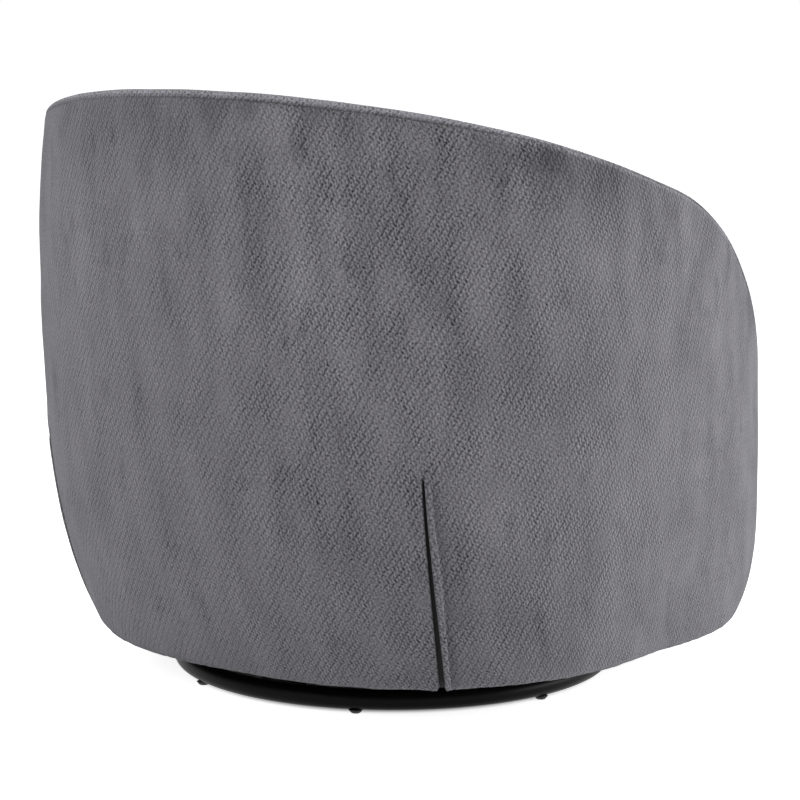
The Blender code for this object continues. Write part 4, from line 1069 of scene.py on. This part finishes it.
def fabric(name, colour):
    """Wool-like upholstery: weave, knots, flecks, fuzz and soft nap."""
    material, n = new_material(name)
    cloth = n.add("Attribute", output="Vector", attribute_name="cloth")
    weave_shading, brushed, shade = (n.add("Attribute", output="Fac", attribute_name=stored)
                                  for stored in ("weave_shade_share", "brushed", "shade"))
    weave = weave_pattern(n, cloth)
    knots = n.noise(n.vector("MULTIPLY", cloth, (1.0, 0.72, 1)), 560.0, 3.0, 0.65)
    flecks = n.over(n.noise(n.vector("ADD", cloth, (5.1, 2.2, 0)), 640.0, 1.0, 0.5), 0.07)
    fuzz = n.noise(cloth, 1500.0, 2.0, 0.6)
    blotch = n.noise(cloth, 7.0, 2.0, 0.5)
    streak = n.noise(n.vector("MULTIPLY", cloth, (1, 0.28, 1)), 26.0, 3.0, 0.55)
    moved = n.vector("ADD", cloth, (3.7, 1.3, 0))
    smudge = n.over(n.noise(n.vector("MULTIPLY", moved, (1, 0.42, 1)), 30.0, 4.0, 0.6), 0.07)
    stronger = n.math("MULTIPLY_ADD", brushed, 0.5, 1.0)
    smudge = n.math("MULTIPLY", smudge, stronger)
    streak = n.math("MULTIPLY", streak, stronger)
    grain = n.blend(0.0, ((weave, WEAVE_TONE), (knots, KNOT_TONE), (flecks, FLECK_TONE)))
    # The weave's marks show more or less by the painted weave shading
    tone = n.math("MULTIPLY_ADD", grain, n.math("ADD", 1.0, weave_shading), PLAIN_TONE)
    tone = n.blend(tone, ((fuzz, FUZZ_TONE), (streak, STREAK_TONE), (blotch, BLOTCH_TONE)))
    tone = n.math("MULTIPLY_ADD", smudge, SMUDGE_TONE, tone)
    # Painted shade and highlight from the stored shade
    tone = n.math("MULTIPLY", tone, n.math("MULTIPLY_ADD", shade, SHADE_TONE, 1.0))
    warm = n.math("ADD", n.noise(cloth, 160.0, 2.0), 0.5)
    red, green, blue = colour
    cooler = (red * 0.97, green * 0.975, blue * 1.05, 1)
    tint = n.add("Mix", {0: warm, 6: (*colour, 1), 7: cooler}, 2, data_type="RGBA")
    relief = n.blend(n.math("MULTIPLY", weave, 0.7), ((knots, 0.9), (fuzz, 0.4)))
    n.surface(Base_Color=n.scaled(tint, n.math("MAXIMUM", tone, DARKEST_TONE)),
              Normal=n.add("Bump", {"Strength": 1.0, "Distance": WEAVE_DEPTH, "Height": relief}),
              Roughness=n.math("MULTIPLY_ADD", fuzz, 0.12, 0.88), Specular_IOR_Level=0.15,
              Sheen_Weight=0.30, Sheen_Roughness=0.45, Sheen_Tint=(0.85, 0.85, 0.9, 1))
    return material


def finish(name, colour, roughness, metallic, speck, scale, stretch=(1, 1, 1), bump=0.05, shine=0.5):
    """Procedural finish of a hard or plain piece."""
    material, n = new_material(name)
    where = n.vector("MULTIPLY", n.add("TexCoord", output="Object"), stretch)
    grain = n.noise(where, scale, 4.0, 0.6)
    broad = n.noise(where, scale / 9, 2.0)
    tone = n.blend(1.0, ((broad, speck), (grain, speck)))
    n.surface(Base_Color=n.scaled(colour, tone), Metallic=metallic, Specular_IOR_Level=shine,
              Normal=n.add("Bump", {"Strength": bump, "Distance": 0.0005, "Height": grain}),
              Roughness=n.math("MULTIPLY_ADD", grain, 0.15, roughness))
    return material


def make_materials():
    """All finishes by slot name, and the near-black painted shade inside the darts' slits."""
    return {
        "grey_fabric": fabric("wool_grey", (0.161, 0.157, 0.166)),
        "black_steel": finish("paint_black", (0.004, 0.004, 0.0045), 0.36, 0.0, 0.3, 500.0, bump=0.08,
                              shine=0.06),
        "black_plastic": finish("plastic_black", (0.014, 0.014, 0.015), 0.55, 0.0, 0.2, 600.0),
        "bearing_steel": finish("plate_zinc", (0.46, 0.46, 0.47), 0.34, 1.0, 0.15, 90.0),
        "ball_steel": finish("ball_polished", (0.62, 0.62, 0.63), 0.12, 1.0, 0.05, 90.0),
        "screw_steel": finish("screw_zinc", (0.55, 0.54, 0.50), 0.35, 1.0, 0.15, 300.0),
        "spring_steel": finish("spring_wire", (0.20, 0.20, 0.21), 0.42, 1.0, 0.25, 300.0),
        "plywood": finish("birch_plywood", (0.55, 0.38, 0.22), 0.70, 0.0, 0.35, 60.0, (1, 1, 6), 0.15),
        "timber": finish("pine_timber", (0.60, 0.44, 0.27), 0.72, 0.0, 0.35, 70.0, (1, 0.12, 1), 0.15),
        "fibreboard": finish("hardboard", (0.33, 0.25, 0.17), 0.88, 0.0, 0.25, 260.0, bump=0.2),
        "felt": finish("grey_felt", (0.105, 0.103, 0.108), 0.97, 0.0, 0.5, 420.0, bump=0.6),
        "dust_cloth": finish("dust_cloth_black", (0.012, 0.012, 0.013), 0.95, 0.0, 0.4, 700.0, bump=0.4),
        # Near-black painted shade for the inside of the darts' slits
        "lining": finish("slit_shade_black", (0.004, 0.004, 0.004), 1.0, 0.0, 0.2, 600.0),
    }


def dress_nodes(finishes):
    """Give each CAD node that stays in view the procedural finish of its slot."""
    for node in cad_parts.values():
        for holder in node.material_slots:
            name = holder.material.name.split(".")[0] if holder.material else ""
            if name in finishes:
                holder.material = finishes[name]


# Studio


def stand(made, height):
    """Put a lamp or camera in the scene, aimed at the axis at a height."""
    look = Vector((0, 0, height)) - made.location
    made.rotation_euler = look.to_track_quat("-Z", "Y").to_euler()
    bpy.context.scene.collection.objects.link(made)


def make_lamp(name, turn, distance, height, size, power):
    """Soft square lamp at a plan angle, aimed at the chair."""
    data = bpy.data.lights.new(name, "AREA")
    data.shape = "SQUARE"
    data.size = size
    data.energy = power
    made = bpy.data.objects.new(name, data)
    made.location = place(turn, distance, height)
    stand(made, LAMP_AIM)


def make_world():
    """Dim even light for the object, white for the camera, reflections and glass."""
    world = bpy.data.worlds.new("studio")
    bpy.context.scene.world = world
    world.use_nodes = True
    n = Nodes(world.node_tree)
    n.tree.nodes.clear()
    level = n.add("MapRange", {"Value": n.seen(), "To Min": WORLD_LEVEL, "To Max": 1.0})
    background = n.add("Background", {"Color": (1, 1, 1, 1), "Strength": level})
    n.put(n.tree.nodes.new("ShaderNodeOutputWorld").inputs["Surface"], background)


def make_floor():
    """Pale floor that reads as white to the camera and keeps a soft shadow."""
    material, n = new_material("floor_pale")
    away = n.vector("LENGTH", n.add("TexCoord", output="Object"))
    edges = {"Value": away, "From Min": SHADOW_RADIUS, "From Max": GLOW_RADIUS}
    open_floor = n.add("MapRange", edges, interpolation_type="SMOOTHSTEP")
    glow = n.math("MULTIPLY", n.math("MULTIPLY", n.seen(), open_floor), FLOOR_GLOW)
    n.surface(Base_Color=(0.80, 0.80, 0.80, 1), Roughness=0.9)
    n.surface(Emission_Color=(1, 1, 1, 1), Emission_Strength=glow)
    bpy.ops.mesh.primitive_plane_add(size=FLOOR_SIZE, location=(0, 0, -FLOOR_DROP))
    floor = bpy.context.object
    floor.name = "floor"
    floor.data.materials.append(material)


def make_camera():
    """Camera at the photograph's place, looking at the back's right corner."""
    data = bpy.data.cameras.new("camera")
    data.lens = CAMERA_LENS
    data.sensor_width = CAMERA_SENSOR
    data.shift_x = CAMERA_SHIFT
    made = bpy.data.objects.new("camera", data)
    turn = math.radians(CAMERA_TURN)
    made.location = (CAMERA_DISTANCE * math.sin(turn), -CAMERA_DISTANCE * math.cos(turn), CAMERA_HEIGHT)
    stand(made, CAMERA_AIM)
    bpy.context.scene.camera = made


def main():
    """Build every piece, its finish and the studio."""
    finishes = make_materials()
    cloth = finishes["grey_fabric"]
    make_cover(cloth, finishes["lining"])
    make_band(cloth)
    make_pad(cloth)
    make_apron(cloth)
    make_cushion(cloth)
    make_deck(finishes["felt"])
    make_dust_cover(finishes["dust_cloth"])
    make_base(finishes["black_steel"], finishes["black_plastic"])
    dress_nodes(finishes)
    for lamp in LAMPS:
        make_lamp(*lamp)
    make_world()
    make_floor()
    make_camera()
    bpy.context.scene.view_settings.view_transform = "Standard"


main()
